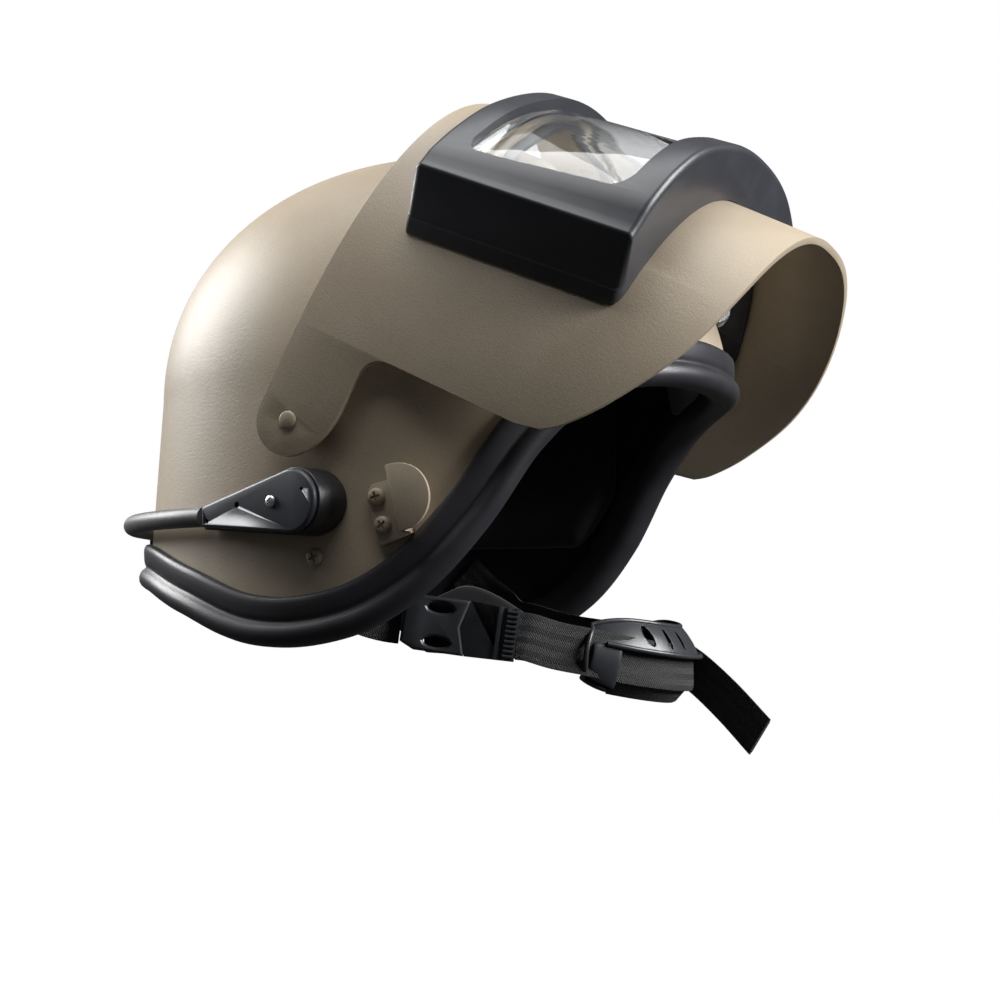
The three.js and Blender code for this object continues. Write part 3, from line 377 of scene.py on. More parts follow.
# %% [markdown]
# Webbing is woven with fine ribs across it and a herringbone of thicker yarns along it. The strap
# meshes below carry a UV map measured in metres along and across the strap, so the weave follows each
# bend instead of cutting through it.

# %% Webbing
def webbing_finish(name, light, dark):
    material = bpy.data.materials.new(name)
    tree, shader, node = node_maker(material)
    lay = node("ShaderNodeUVMap", uv_map="weave").outputs[0]
    split = node("ShaderNodeSeparateXYZ", {0: lay})

    def wave(value, pitch):
        turn = node("ShaderNodeMath", {0: value, 1: 2 * math.pi / pitch}, operation="MULTIPLY")
        return node("ShaderNodeMath", {0: turn.outputs[0]}, operation="SINE").outputs[0]

    zigzag = node("ShaderNodeMath", {0: split.outputs[1], 1: 0.0025}, operation="PINGPONG")
    slant = node("ShaderNodeMath", {0: split.outputs[0], 1: zigzag.outputs[0]}, operation="ADD")
    ribs = wave(slant.outputs[0], 0.0011)
    yarns = wave(split.outputs[1], 0.00062)
    both = node("ShaderNodeMath", {0: ribs, 1: yarns}, operation="MULTIPLY")
    height = node("ShaderNodeMath", {0: both.outputs[0], 1: ribs}, operation="ADD")
    part = node("ShaderNodeMapRange", {0: height.outputs[0], 1: -1.4, 2: 1.4})
    mix = node("ShaderNodeMix", {0: part.outputs[0], 6: (*dark, 1), 7: (*light, 1)}, data_type="RGBA")
    tree.links.new(mix.outputs[2], shader.inputs["Base Color"])
    bump = node("ShaderNodeBump", {"Height": height.outputs[0], "Strength": 0.8, "Distance": 0.00012})
    tree.links.new(bump.outputs[0], shader.inputs["Normal"])
    shader.inputs["Roughness"].default_value = 0.62
    shader.inputs["Sheen Weight"].default_value = 0.12
    return material


webbing = webbing_finish("webbing", (0.011, 0.012, 0.014), (0.004, 0.004, 0.005))

# %% [markdown]
# The window is a clear hard sheet. Glass needs a low roughness and a refraction index, and almost no
# colour of its own: what the eye reads as glass is what it mirrors.

# %% Window glass
glass = bpy.data.materials.new("window glass")
glass_tree, glass_shader, glass_node = node_maker(glass)
glass_shader.inputs["Base Color"].default_value = (0.90, 0.92, 0.93, 1)
glass_shader.inputs["Transmission Weight"].default_value = 1.0
glass_shader.inputs["IOR"].default_value = 1.08
glass_shader.inputs["Coat Weight"].default_value = 1.0
glass_shader.inputs["Coat Roughness"].default_value = 0.03
glass_shader.inputs["Coat IOR"].default_value = 1.5
glass_place = glass_node("ShaderNodeTexCoord").outputs["Object"]
glass_haze = glass_node("ShaderNodeTexNoise", {"Vector": glass_place, "Scale": 60.0, "Detail": 3.0})
glass_rough = glass_node("ShaderNodeMapRange", {0: glass_haze.outputs[0], 3: 0.01, 4: 0.06})
glass_tree.links.new(glass_rough.outputs[0], glass_shader.inputs["Roughness"])

# %% [markdown]
# The shell is pressed in one piece, so it is one closed skin: an outer dome, a rounded cut edge and an
# inner dome, closed at the crown. The inner faces take a second material, the dark lining.

# %% Shell
def dome_ring(down, out):
    low = climb_of(edge_height(STATIONS))
    return on_shell(STATIONS, math.pi / 2 + (low - math.pi / 2) * down, out)


def build_shell():
    rows = 64
    steps = [(i / rows) for i in range(1, rows + 1)]
    outer = [dome_ring(down, np.zeros(len(STATIONS))) for down in steps]
    inner = [dome_ring(down, np.full(len(STATIONS), -SHELL["wall"])) for down in reversed(steps)]
    rings = outer + inner
    count = len(STATIONS)
    points = np.concatenate(rings + [[[0, 0, SHELL["dome"]], [0, 0, SHELL["dome"] - SHELL["wall"]]]])
    faces = ring_faces(len(rings), count, closed=False)
    top = len(points) - 2
    last = (len(rings) - 1) * count
    for j in range(count):
        k = (j + 1) % count
        faces.append((top, k, j))
        faces.append((top + 1, last + j, last + k))
    shell = make_mesh("helmet_shell", to_part(points), faces, sharp=50)
    shell.data.materials.append(paint)
    shell.data.materials.append(lining)
    middle = Vector((0, 0, -0.07))
    for face in shell.data.polygons:
        toward = face.center - middle
        face.material_index = 1 if face.normal.dot(toward) < 0 else 0
    return dress(shell, None, "helmet", "shell", slot="tan_paint")


shell = build_shell()
print("shell faces", len(shell.data.polygons))

# %% [markdown]
# The rim is a rubber moulding pushed over the cut edge. Its section has a thin outer flap, a groove,
# and a fat rounded lip. The section is swept round the edge, and at every station it is turned to
# follow both the edge and the wall, as the real extrusion does when it is pressed on.

# %% Rim trim
TRIM = [
    (0.5, -10.9), (1.6, -11.2), (2.8, -10.8), (3.5, -9.6), (3.7, -8.2), (3.5, -6.0), (3.2, -3.6),
    (2.7, -1.9), (2.2, -1.2), (2.5, -0.4), (3.6, 0.5), (4.5, 1.8), (4.95, 3.6), (4.7, 5.7), (3.6, 7.5),
    (1.8, 8.8), (-0.6, 9.35), (-3.2, 9.4), (-5.8, 9.0), (-8.2, 8.1), (-10.2, 6.4), (-11.6, 4.0),
    (-12.0, 1.2), (-12.0, -2.5), (-12.0, -6.0), (-11.6, -8.6), (-10.6, -9.0), (-9.8, -8.4),
    (-9.8, -4.0), (-9.8, 0.3), (-5.0, 0.4), (0.5, 0.4), (0.5, -5.0),
]


def build_trim():
    step = 0.012
    angle = STATIONS
    climb = climb_of(edge_height(angle))
    around = (surface(angle + step, climb) - surface(angle - step, climb)) / (2 * step)
    upward = (surface(angle, climb + step) - surface(angle, climb - step)) / (2 * step)
    slope = (climb_of(edge_height(angle + step)) - climb_of(edge_height(angle - step))) / (2 * step)
    edge = unit(around + upward * slope[:, None])
    past = np.cross(edge, surface_normal(angle, climb))
    past *= -np.sign(np.sum(past * upward, -1, keepdims=True))
    turn_rate = np.sum(past * around, -1) / np.sum(around * around, -1)
    climb_rate = np.sum(past * upward, -1) / np.sum(upward * upward, -1)
    rings = [
        on_shell(angle + turn_rate * beyond, climb + climb_rate * beyond, np.full(len(angle), out))
        for out, beyond in TRIM
    ]
    points = to_part(np.concatenate(rings))
    trim = make_mesh("rim_moulding", points, ring_faces(len(rings), len(angle)), sharp=60)
    return dress(trim, trim_rubber, "helmet", "rim_trim", slot="trim_rubber")


build_trim()

# %% [markdown]
# The visor is rolled from one thick sheet and then trimmed. It is made here in the same order: a
# curved sheet, cut by the outline of its cheeks, by the window and by the rivet holes. Its own frame
# has the hinge line as X, so one turn about that line raises it.

# %% Sizes of the visor, in millimetres
HINGE = Vector((0, 22, -18.3 - SEAT))
RAISED = math.radians(64)
VISOR = dict(half=125.5, reach=160, power=2.6, sheet=3)
EDGE = dict(top=-14, side=38, lobe=14.5, arm=19.5, corner=92)
CHIN = [(40, 99), (46, 107), (62, 120), (89, 135), (121, 142.5), (170, 144.5)]
BROW = [(0, 174.5), (34, 171.8), (61, 164.4), (91, 151), (111, 136.4), (124, 123.6), (130, 115)]
CHIN_BAR = [(0, 183), (34, 181.5), (61, 177), (91, 167.5), (111, 153.5), (124, 137), (130, 122)]
OPENING = dict(top=20, bottom=89, foot=100, foot_reach=100, crown=122, crown_reach=130, round=7)
CUT_OUT = dict(top=23, bottom=92, half=102, round=7)
FRAME = dict(top=7, bottom=103, foot_top=114.5, foot_bottom=112, tip=130)
TURN = Matrix.Rotation(-RAISED, 4, "X")


def from_visor(x, reach, drop):
    """A point of the shut visor, given across, forward and down, in the part's frame when raised."""
    return tuple((TURN @ Vector((x, -reach, -drop)) + HINGE) * MM)


def from_front(x, drop, reach):
    """The same point for an outline that is drawn as seen from the front."""
    return from_visor(x, reach, drop)


def from_side(drop, reach, x):
    """The same point for an outline that is drawn as seen from the side."""
    return from_visor(x, reach, drop)


def arch(turn, out=0.0):
    step = 0.004
    limit = math.pi / 2 - 2 * step
    turn = np.clip(np.asarray(turn, float), -limit, limit)

    def at(t):
        across = VISOR["half"] * signed_power(np.sin(t), 2 / VISOR["power"])
        return np.stack([across, VISOR["reach"] * signed_power(np.cos(t), 2 / VISOR["power"])], -1)

    along = unit(at(turn + step) - at(turn - step))
    return at(turn) + np.stack([-along[..., 1], along[..., 0]], -1) * out


def turn_at(side):
    return math.asin(float(signed_power(side / VISOR["half"], VISOR["power"] / 2)))


def arch_line(half, out, steps):
    end = turn_at(half)
    even = np.linspace(-1, 1, steps + 1)
    fine = np.linspace(-end, end, 1201)
    line = arch(fine)
    reached = np.concatenate([[0], np.cumsum(np.linalg.norm(np.diff(line, axis=0), axis=1))])
    turns = np.interp((even + 1) / 2 * reached[-1], reached, fine)
    return [tuple(p) for p in arch(turns, out)]


# %% Outlines cut from the visor
def arc(cx, cy, radius, start, end, steps=10):
    turns = np.linspace(start, end, steps + 1)
    return [(cx + radius * math.cos(t), cy + radius * math.sin(t)) for t in turns]


def bezier(a, b, c, d, steps=12):
    points = []
    for t in np.linspace(0, 1, steps + 1):
        w = [(1 - t) ** 3, 3 * t * (1 - t) ** 2, 3 * t * t * (1 - t), t ** 3]
        points.append(tuple(sum(w[k] * p[i] for k, p in enumerate((a, b, c, d))) for i in (0, 1)))
    return points


def spline(points, count):
    """Points along a smooth curve through a few spots, the same curve as the CAD solid's."""
    p = np.asarray(points, float)
    p = np.vstack([p[0], p, p[-1]])
    out = []
    for s in np.linspace(0, len(points) - 1, count):
        i = min(int(s), len(points) - 2)
        t = s - i
        a, b, c, d = p[i], p[i + 1], p[i + 2], p[i + 3]
        v0, v1 = (c - a) * 0.5, (d - b) * 0.5
        out.append((2 * b - 2 * c + v0 + v1) * t ** 3 + (-3 * b + 3 * c - 2 * v0 - v1) * t ** 2 + v0 * t + b)
    return [tuple(q) for q in out]


def rounded_box(left, low, right, high, radius, steps=8):
    quarter = math.pi / 2
    return (
        arc(right - radius, low + radius, radius, -quarter, 0, steps)
        + arc(right - radius, high - radius, radius, 0, quarter, steps)
        + arc(left + radius, high - radius, radius, quarter, 2 * quarter, steps)
        + arc(left + radius, low + radius, radius, 2 * quarter, 3 * quarter, steps)
    )


def cheek_outline():
    top, side, lobe, arm, corner = (EDGE[k] for k in ("top", "side", "lobe", "arm", "corner"))
    points = [(top, 190), (top, 0)]
    points += arc(top + lobe, 0, lobe, math.pi, math.pi * 1.5, 16)[1:]
    points += bezier((top + lobe, -lobe), (12, -lobe), (arm, 0), (arm, 14), 14)[1:]
    points += [(arm, side - 12)]
    points += bezier((arm, side - 12), (arm, side - 4), (arm + 4, side), (arm + 11, side), 10)[1:]
    points += [(corner - 4, side)]
    points += [(drop, reach) for drop, reach in spline([(d, r) for r, d in CHIN], 40)]
    points += [(CHIN[-1][1], 190)]
    return points


# %% [markdown]
# A Boolean modifier cuts one closed mesh by another. The exact solver is slower than the fast one but
# keeps thin sheets clean. Each cutter is deleted as soon as it has done its work.

# %% Visor plate
def build_plate():
    steps = 150
    leg = -EDGE["lobe"] - 6
    half = VISOR["half"]
    outer = arch_line(half - 0.02, 0, steps)
    inner = arch_line(half - 0.02, -VISOR["sheet"], steps)[::-1]
    section = [(-half, leg)] + outer + [(half, leg), (half - VISOR["sheet"], leg)]
    section += inner + [(-half + VISOR["sheet"], leg)]
    plate = prism("visor_shield", section, from_visor, EDGE["top"] - 2, 160)
    cheeks = prism("cheeks", cheek_outline(), from_side, -140, 140)
    carve(plate, cheeks, "INTERSECT")
    box = rounded_box(-CUT_OUT["half"], CUT_OUT["top"], CUT_OUT["half"], CUT_OUT["bottom"], CUT_OUT["round"])
    carve(plate, prism("cut_out", box, from_front, 60, 200))
    hole = arc(0, 0, 2.9, 0, 2 * math.pi, 24)[:-1]
    carve(plate, prism("rivet_holes", hole, from_side, -140, 140))
    soften(plate, 0.9, 3, angle=40, sharp=38, dissolve=0.05)
    return dress(plate, paint, "visor", "visor_plate", slot="tan_paint")


plate = build_plate()
print("visor faces", len(plate.data.polygons))

# %% [markdown]
# The window sits in a deep rubber block with two long ends and two arched bars. The block is lofted
# between two outlines, the opening is cut through it, and then all its edges are rounded, because
# moulded rubber has no sharp corner.

# %% Window frame
def fillet(before, corner, after, radius, steps=5):
    """Points of a small arc that takes the place of a corner."""
    a, b = unit(before - corner), unit(after - corner)
    half = math.acos(float(a @ b)) / 2
    middle = corner + unit(a + b) * radius / math.sin(half)
    start, end = corner + a * radius / math.tan(half) - middle, corner + b * radius / math.tan(half) - middle
    return [middle + unit(start * (1 - t) + end * t) * radius for t in np.linspace(0, 1, steps)]


def frame_section(share, inset, foot_out, fall, step_out, steps=64):
    """Outline of the block at a share of its length: arch, near wall with its low step, foot, far wall."""
    tip = FRAME["tip"] - inset
    side = tip * np.sin(np.linspace(-1, 1, steps + 1) * math.pi / 2)
    full = np.abs(side) * FRAME["tip"] / tip
    reach = read_table(BROW, full) * (1 - share) + read_table(CHIN_BAR, full) * share - fall - inset
    crown = np.stack([side, reach], -1)
    foot_half = FRAME["foot_top"] * (1 - share) + FRAME["foot_bottom"] * share - inset
    foot = np.array(arch_line(foot_half, foot_out, steps))
    walls = []
    for sign, corner, low in ((1, crown[-1], foot[-1]), (-1, crown[0], foot[0])):
        down = unit(low - corner)
        out = np.array([-down[1], down[0]]) * sign
        before = corner + (crown[-4] - crown[-1] if sign > 0 else crown[3] - crown[0])
        points = fillet(before, corner, low, 1.7)
        points += [corner + (low - corner) * 0.76, corner + (low - corner) * 0.785 + out * step_out]
        points += [low + out * step_out]
        walls.append(points)
    middle = crown[np.abs(side) < tip - 2.2]
    return [*middle, *walls[0], *foot[::-1][2:-2], *walls[1][::-1]]


def frame_block(name, foot_out, fall, edge, step_out=0.0):
    length = FRAME["bottom"] - FRAME["top"]
    rows = [(0.0, edge)]
    if edge:
        turns = np.radians([0, 18, 36, 54, 72, 90])
        rows = [(edge * (1 - math.cos(t)) / length, edge * (1 - math.sin(t))) for t in turns]
    rows += [(1 - share, inset) for share, inset in rows[::-1]]
    points = []
    for share, inset in rows:
        outline = frame_section(share, inset, foot_out, fall, step_out)
        points += [from_visor(x, r, FRAME["top"] + share * length) for x, r in outline]
    count = len(outline)
    faces = ring_faces(len(rows), count, closed=False)
    faces += [tuple(range(count))[::-1], tuple(range((len(rows) - 1) * count, len(rows) * count))]
    return make_mesh(name, points, faces)


def opening_block(shrink, start=95, end=230):
    foot, crown = OPENING["foot"] - shrink, OPENING["crown"] - shrink
    top, bottom = OPENING["top"] + shrink, OPENING["bottom"] - shrink
    wedge = [
        (-foot, OPENING["foot_reach"]), (foot, OPENING["foot_reach"]), (crown, OPENING["crown_reach"]),
        (crown, 220), (-crown, 220), (-crown, OPENING["crown_reach"]),
    ]
    block = prism("wedge", wedge, from_visor, top, bottom)
    box = rounded_box(-crown, top, crown, bottom, OPENING["round"])
    return carve(block, prism("round", box, from_front, start, end), "INTERSECT")


def build_frame():
    block = frame_block("window_surround", 0.42, 0, 3.0, 0.7)
    carve(block, opening_block(0))
    soften(block, 0.9, 3, angle=38, sharp=40, dissolve=0.05, weld=0.12)
    return dress(block, frame_rubber, "visor", "window_frame", slot="frame_rubber")


surround = build_frame()
print("frame faces", len(surround.data.polygons))

# %% Window pane
def build_pane():
    pane = frame_block("window_pane", 0.9, 5, 0)
    carve(pane, opening_block(0.4), "INTERSECT")
    soften(pane, 0.6, 2, angle=38, sharp=40, dissolve=0.05)
    return dress(pane, glass, "visor", "window_glass", slot="window")


build_pane()

# %% [markdown]
# Behind the sheet a thin dark strip clamps the window. It follows the same arch a few millimetres
# further in, and bolts hold it.

# %% Window bezel
BEZEL = dict(half=110, top=22, bottom=98, near=0.3, far=2.2, round=7)
BEZEL.update(inner_half=97, inner_top=27.5, inner_bottom=89)


def build_bezel():
    outer = arch_line(BEZEL["half"], -VISOR["sheet"] - BEZEL["near"], 110)
    inner = arch_line(BEZEL["half"], -VISOR["sheet"] - BEZEL["far"], 110)[::-1]
    band = prism("window_strip", outer + inner, from_visor, BEZEL["top"], BEZEL["bottom"])
    side, top, bottom = (BEZEL[k] for k in ("inner_half", "inner_top", "inner_bottom"))
    box = rounded_box(-side, top, side, bottom, BEZEL["round"])
    carve(band, prism("middle", box, from_front, 60, 200))
    soften(band, 0.4, 2, angle=38, dissolve=0.05)
    return dress(band, trim_rubber, "visor", "window_bezel", slot="trim_rubber")


build_bezel()

# %% [markdown]
# Screws repeat, so Geometry Nodes places them: one modelled head is instanced on a cloud of points,
# each point carrying the way that its head faces. The tree ends in Realize Instances and Set Material
# and is then turned into a plain mesh, because instances don't survive an export.

# %% One cross-head screw
def screw_head(name, radius, tall, recess=True):
    sides = 28
    profile = [(1.0, 0.0), (1.0, 0.3), (0.95, 0.52), (0.84, 0.74), (0.66, 0.9), (0.42, 0.98), (0.2, 1.0)]
    points = []
    for out, up in profile:
        for j in range(sides):
            turn = 2 * math.pi * j / sides
            points.append((radius * out * math.cos(turn), radius * out * math.sin(turn), tall * up))
    rows = len(profile)
    faces = ring_faces(rows, sides, closed=False)
    faces.append(tuple(range((rows - 1) * sides, rows * sides)))
    faces.append(tuple(range(sides - 1, -1, -1)))
    head = make_mesh(name, np.array(points) * MM, faces)
    if recess:
        for turn in (0, math.pi / 2):
            long, wide = radius * 0.56, radius * 0.13
            low, high = tall * 0.45, tall * 1.2
            corner = [(-long, -wide), (long, -wide), (long, wide), (-long, wide)]
            spin = Matrix.Rotation(turn, 4, "Z")
            bar = prism("slot", corner, lambda a, b, c: tuple(spin @ Vector((a, b, c)) * MM), low, high)
            carve(head, bar)
    return head


# %% What every tree here starts and ends with
def start_tree(name, label, value):
    """An empty tree with geometry going in and out, and one named number."""
    tree = bpy.data.node_groups.new(name, "GeometryNodeTree")
    tree.interface.new_socket("Geometry", in_out="INPUT", socket_type="NodeSocketGeometry")
    size = tree.interface.new_socket(label, in_out="INPUT", socket_type="NodeSocketFloat")
    size.default_value = value
    tree.interface.new_socket("Geometry", in_out="OUTPUT", socket_type="NodeSocketGeometry")
    return tree, tree.nodes.new("NodeGroupInput")


def end_tree(tree, shape, material):
    """Makes what comes out of a socket real geometry with a material."""
    real = tree.nodes.new("GeometryNodeRealizeInstances")
    coat = tree.nodes.new("GeometryNodeSetMaterial")
    coat.inputs["Material"].default_value = material
    end = tree.nodes.new("NodeGroupOutput")
    tree.links.new(shape, real.inputs[0])
    tree.links.new(real.outputs[0], coat.inputs["Geometry"])
    tree.links.new(coat.outputs[0], end.inputs[0])
    return tree


def run_tree(obj, tree, label, value, sharp):
    """Runs a tree on an object with its number set, and keeps the result as a plain mesh."""
    modifier = obj.modifiers.new("tree", "NODES")
    modifier.node_group = tree
    keys = {item.name: item.identifier for item in tree.interface.items_tree if item.in_out == "INPUT"}
    modifier[keys[label]] = value
    return baked(obj, sharp)


# %% The tree that places screws
def screw_tree(name, head, material):
    tree, start = start_tree(name, "Head size", 1.0)
    nodes, links = tree.nodes, tree.links
    info = nodes.new("GeometryNodeObjectInfo")
    info.inputs["Object"].default_value = head
    way = nodes.new("GeometryNodeInputNamedAttribute")
    way.data_type = "FLOAT_VECTOR"
    way.inputs["Name"].default_value = "facing"
    spin = nodes.new("GeometryNodeInputNamedAttribute")
    spin.data_type = "FLOAT"
    spin.inputs["Name"].default_value = "spin"
    align = nodes.new("FunctionNodeAlignEulerToVector")
    align.axis = "Z"
    twist = nodes.new("FunctionNodeRotateEuler")
    twist.rotation_type = "AXIS_ANGLE"
    twist.space = "LOCAL"
    twist.inputs["Axis"].default_value = (0, 0, 1)
    place = nodes.new("GeometryNodeInstanceOnPoints")
    links.new(way.outputs[0], align.inputs["Vector"])
    links.new(align.outputs[0], twist.inputs["Rotation"])
    links.new(spin.outputs[0], twist.inputs["Angle"])
    links.new(start.outputs["Geometry"], place.inputs["Points"])
    links.new(info.outputs["Geometry"], place.inputs["Instance"])
    links.new(twist.outputs[0], place.inputs["Rotation"])
    links.new(start.outputs["Head size"], place.inputs["Scale"])
    return end_tree(tree, place.outputs[0], material)


def place_screws(name, spots, head, material, body, nodes, slot, size=1.0):
    """spots: a list of place in metres, facing and spin in degrees, one for each screw."""
    mesh = bpy.data.meshes.new(name)
    mesh.from_pydata([tuple(s[0]) for s in spots], [], [])
    facing = mesh.attributes.new("facing", "FLOAT_VECTOR", "POINT")
    facing.data.foreach_set("vector", [c for s in spots for c in s[1]])
    spin = mesh.attributes.new("spin", "FLOAT", "POINT")
    spin.data.foreach_set("value", [math.radians(s[2]) for s in spots])
    obj = add_object(name, mesh)
    run_tree(obj, screw_tree(name + "_tree", head, material), "Head size", size, 32)
    for left in list(obj.data.attributes):
        if left.name in ("facing", "spin"):
            obj.data.attributes.remove(left)
    return dress(obj, material, body, *nodes, slot=slot)


# %% [markdown]
# Where each screw goes is read from its CAD head: the middle of the head's box and the way its shank
# would run. So a screw can't drift off the piece that it holds.

# %% Screws on the helmet
YAW = math.radians(17.5)


def node_middle(node):
    low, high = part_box(node)
    return (Vector(low) + Vector(high)) / 2


def head_spot(node, way, tall, spin):
    """The flat back of a head, from the middle of its CAD box and the way that it faces."""
    facing = Vector(way).normalized()
    return (node_middle(node) - facing * tall * 0.5 * MM, facing, spin)


ear_way = [float(v) for v in surface_normal(np.radians(94.5), climb_of(-73.7))]
pan = screw_head("pan_head", 3.6, 2.3)
painted_spots = []
painted_nodes = []
for side, sign in (("right", -1), ("left", 1)):
    for number, spin in ((1, 14), (2, 38)):
        node = f"tab_screw_{side}_{number}"
        painted_spots.append(head_spot(node, (sign, 0, 0), 2.3, spin))
        painted_nodes.append(node)
    node = f"ear_screw_{side}"
    painted_spots.append(head_spot(node, (-sign * ear_way[0], ear_way[1], ear_way[2]), 2.3, 20))
    painted_nodes.append(node)
place_screws("painted_screws", painted_spots, pan, paint, "helmet", painted_nodes, "tan_paint")

small_head = screw_head("cover_head", 2.5, 1.4)
steel_spots = []
for side, sign in (("right", -1), ("left", 1)):
    way = (sign * math.cos(YAW), math.sin(YAW), 0)
    steel_spots.append(head_spot(f"housing_screw_{side}", way, 1.4, 40))
cover_nodes = ["housing_screw_right", "housing_screw_left"]
place_screws("cover_screws", steel_spots, small_head, steel, "helmet", cover_nodes, "steel")

# %% Bolts of the window strip
BOLTS = [(-104.5, 42), (-104.5, 76), (104.5, 42), (104.5, 76), (-50, 94), (0, 94), (50, 94)]
bolt_head = screw_head("strip_bolt", 3.0, 1.8, recess=False)
bolt_spots = []
for side, drop in BOLTS:
    turn = turn_at(side)
    near = arch(turn, -VISOR["sheet"] - 2.5)
    deep = arch(turn, -VISOR["sheet"] - 3.5)
    spot = Vector(from_visor(near[0], near[1], drop))
    ahead = Vector(from_visor(deep[0], deep[1], drop))
    bolt_spots.append((spot, (ahead - spot).normalized(), 0))
bolt_nodes = [f"bezel_bolt_{i}" for i in range(1, 8)]
place_screws("strip_bolts", bolt_spots, bolt_head, brass, "visor", bolt_nodes, "steel")
for spare in (pan, small_head, bolt_head):
    bpy.data.objects.remove(spare)
print("screws placed", len(painted_spots) + len(steel_spots) + len(bolt_spots))

# %% [markdown]
# Straps are flat and keep their width, so each is a ribbon swept along a smooth route. The route is a
# Catmull-Rom curve, which passes through every spot that it is given. At each spot the ribbon also
# knows which way it faces, so it can turn from the cheek towards the chin as real webbing does.

# %% Smooth routes
def smooth_route(spots, per_span):
    """Points of a centripetal Catmull-Rom curve and the share of the way along it, span by span."""
    p = np.array([s[:3] for s in spots], float)
    p = np.vstack([2 * p[0] - p[1], p, 2 * p[-1] - p[-2]])
    out = []
    for i in range(len(spots) - 1):
        a, b, c, d = p[i:i + 4]
        gaps = [max(float(np.sum((v - u) ** 2)) ** 0.25, 1e-4) for u, v in ((a, b), (b, c), (c, d))]
        t0 = ((b - a) / gaps[0] - (c - a) / (gaps[0] + gaps[1]) + (c - b) / gaps[1]) * gaps[1]
        t1 = ((c - b) / gaps[1] - (d - b) / (gaps[1] + gaps[2]) + (d - c) / gaps[2]) * gaps[1]
        last = i == len(spots) - 2
        for t in np.linspace(0, 1, per_span + 1)[: per_span + (1 if last else 0)]:
            bend = (2 * b - 2 * c + t0 + t1) * t ** 3 + (-3 * b + 3 * c - 2 * t0 - t1) * t ** 2
            out.append(bend + t0 * t + b)
    return np.array(out)


def strap_frames(spots, per_span=12):
    line = smooth_route(spots, per_span)
    place = np.linspace(0, len(spots) - 1, len(line))
    facing = np.radians(np.interp(place, np.arange(len(spots)), [s[3] for s in spots]))
    tangent = unit(np.gradient(line, axis=0))
    face = np.stack([-np.cos(facing), -np.sin(facing), np.zeros(len(line))], -1)
    width = unit(np.cross(tangent, face))
    width *= np.where(width[:, 2:] < 0, -1, 1)
    normal = unit(np.cross(width, tangent))
    normal *= np.where(np.sum(normal * face, -1, keepdims=True) < 0, -1, 1)
    return line, width, normal


# %% A ribbon with a weave map
def ribbon(name, frames, wide=20.0, thick=1.6, across=10):
    line, width, normal = frames
    half = wide / 2
    edge = 0.9
    side = np.linspace(-1, 1, across + 1)
    side = np.sign(side) * (1 - (1 - np.abs(side)) ** 1.15) * half
    past = np.clip((np.abs(side) - (half - edge)) / edge, 0, 0.96)
    lift = np.sqrt(np.clip(1 - past ** 2, 0, 1)) * thick / 2
    ring_side = np.concatenate([side, side[::-1]])
    ring_lift = np.concatenate([lift, -lift[::-1]])
    count = len(ring_side)
    points = (
        line[:, None, :]
        + width[:, None, :] * ring_side[None, :, None]
        + normal[:, None, :] * ring_lift[None, :, None]
    )
    faces = ring_faces(len(line), count, closed=False)
    faces.append(tuple(range(count - 1, -1, -1)))
    faces.append(tuple(range((len(line) - 1) * count, len(line) * count)))
    obj = make_mesh(name, to_part(points.reshape(-1, 3)), faces, sharp=50)
    along = np.concatenate([[0], np.cumsum(np.linalg.norm(np.diff(line, axis=0), axis=1))])
    lay = obj.data.uv_layers.new(name="weave")
    table = np.empty((len(obj.data.loops), 2))
    corners = np.empty(len(obj.data.loops), int)
    obj.data.loops.foreach_get("vertex_index", corners)
    table[:, 0] = along[corners // count] * MM
    table[:, 1] = ring_side[corners % count] * MM
    lay.data.foreach_set("uv", table.ravel())
    return obj


# %% [markdown]
# The chin strap is one loop. It starts inside the shell by the wearer's right ear, ends in the buckle's
# socket, starts again at the buckle's clip, goes round the chin and climbs to the left ear. The spots
# are the CAD route's own, in millimetres from the middle of the shell.

# %% Routes of the strap
BUCKLE_FROM = np.array([-83.5, -11, -98.5])
BUCKLE_TO = np.array([-65.5, -55, -105.0])
BUCKLE_LENGTH = float(np.linalg.norm(BUCKLE_TO - BUCKLE_FROM))
BUCKLE_ALONG = (BUCKLE_TO - BUCKLE_FROM) / BUCKLE_LENGTH


def buckle_spot(distance):
    spot = BUCKLE_FROM + BUCKLE_ALONG * distance
    return (*spot, math.degrees(math.atan2(BUCKLE_ALONG[0], -BUCKLE_ALONG[1])))


def mirror_route(route):
    return [(-x, y, z, 180 - facing) for x, y, z, facing in route]


anchor = at_height(103, -72, -SHELL["wall"] - 1.7)
below = at_height(98.5, -82, -SHELL["wall"] - 4.2)
SIDE_ROUTE = [
    (*anchor, -6), (*below, -3), (-99, 8.5, -91, 6), (-91.5, 1, -95.5, 14),
    buckle_spot(-6), buckle_spot(-0.4),
]
CHIN_ROUTE = [
    buckle_spot(BUCKLE_LENGTH + 0.4), buckle_spot(BUCKLE_LENGTH + 5), (-57, -69, -109, 34),
    (-48, -82, -112, 40), (-36, -96, -115.5, 50), (-20, -107.5, -118, 68), (0, -112, -119, 90),
]
LEFT_ROUTE = mirror_route(CHIN_ROUTE[2:])[::-1][1:]
FRONT_ROUTE = CHIN_ROUTE + LEFT_ROUTE + [(75, -33, -104, 160)] + mirror_route(SIDE_ROUTE)[::-1]

strap_right = ribbon("strap_right_web", strap_frames(SIDE_ROUTE, 8))
dress(strap_right, webbing, "helmet", "strap_right", slot="webbing")
strap_front = ribbon("strap_front_web", strap_frames(FRONT_ROUTE, 10))
dress(strap_front, webbing, "helmet", "strap_front", slot="webbing")

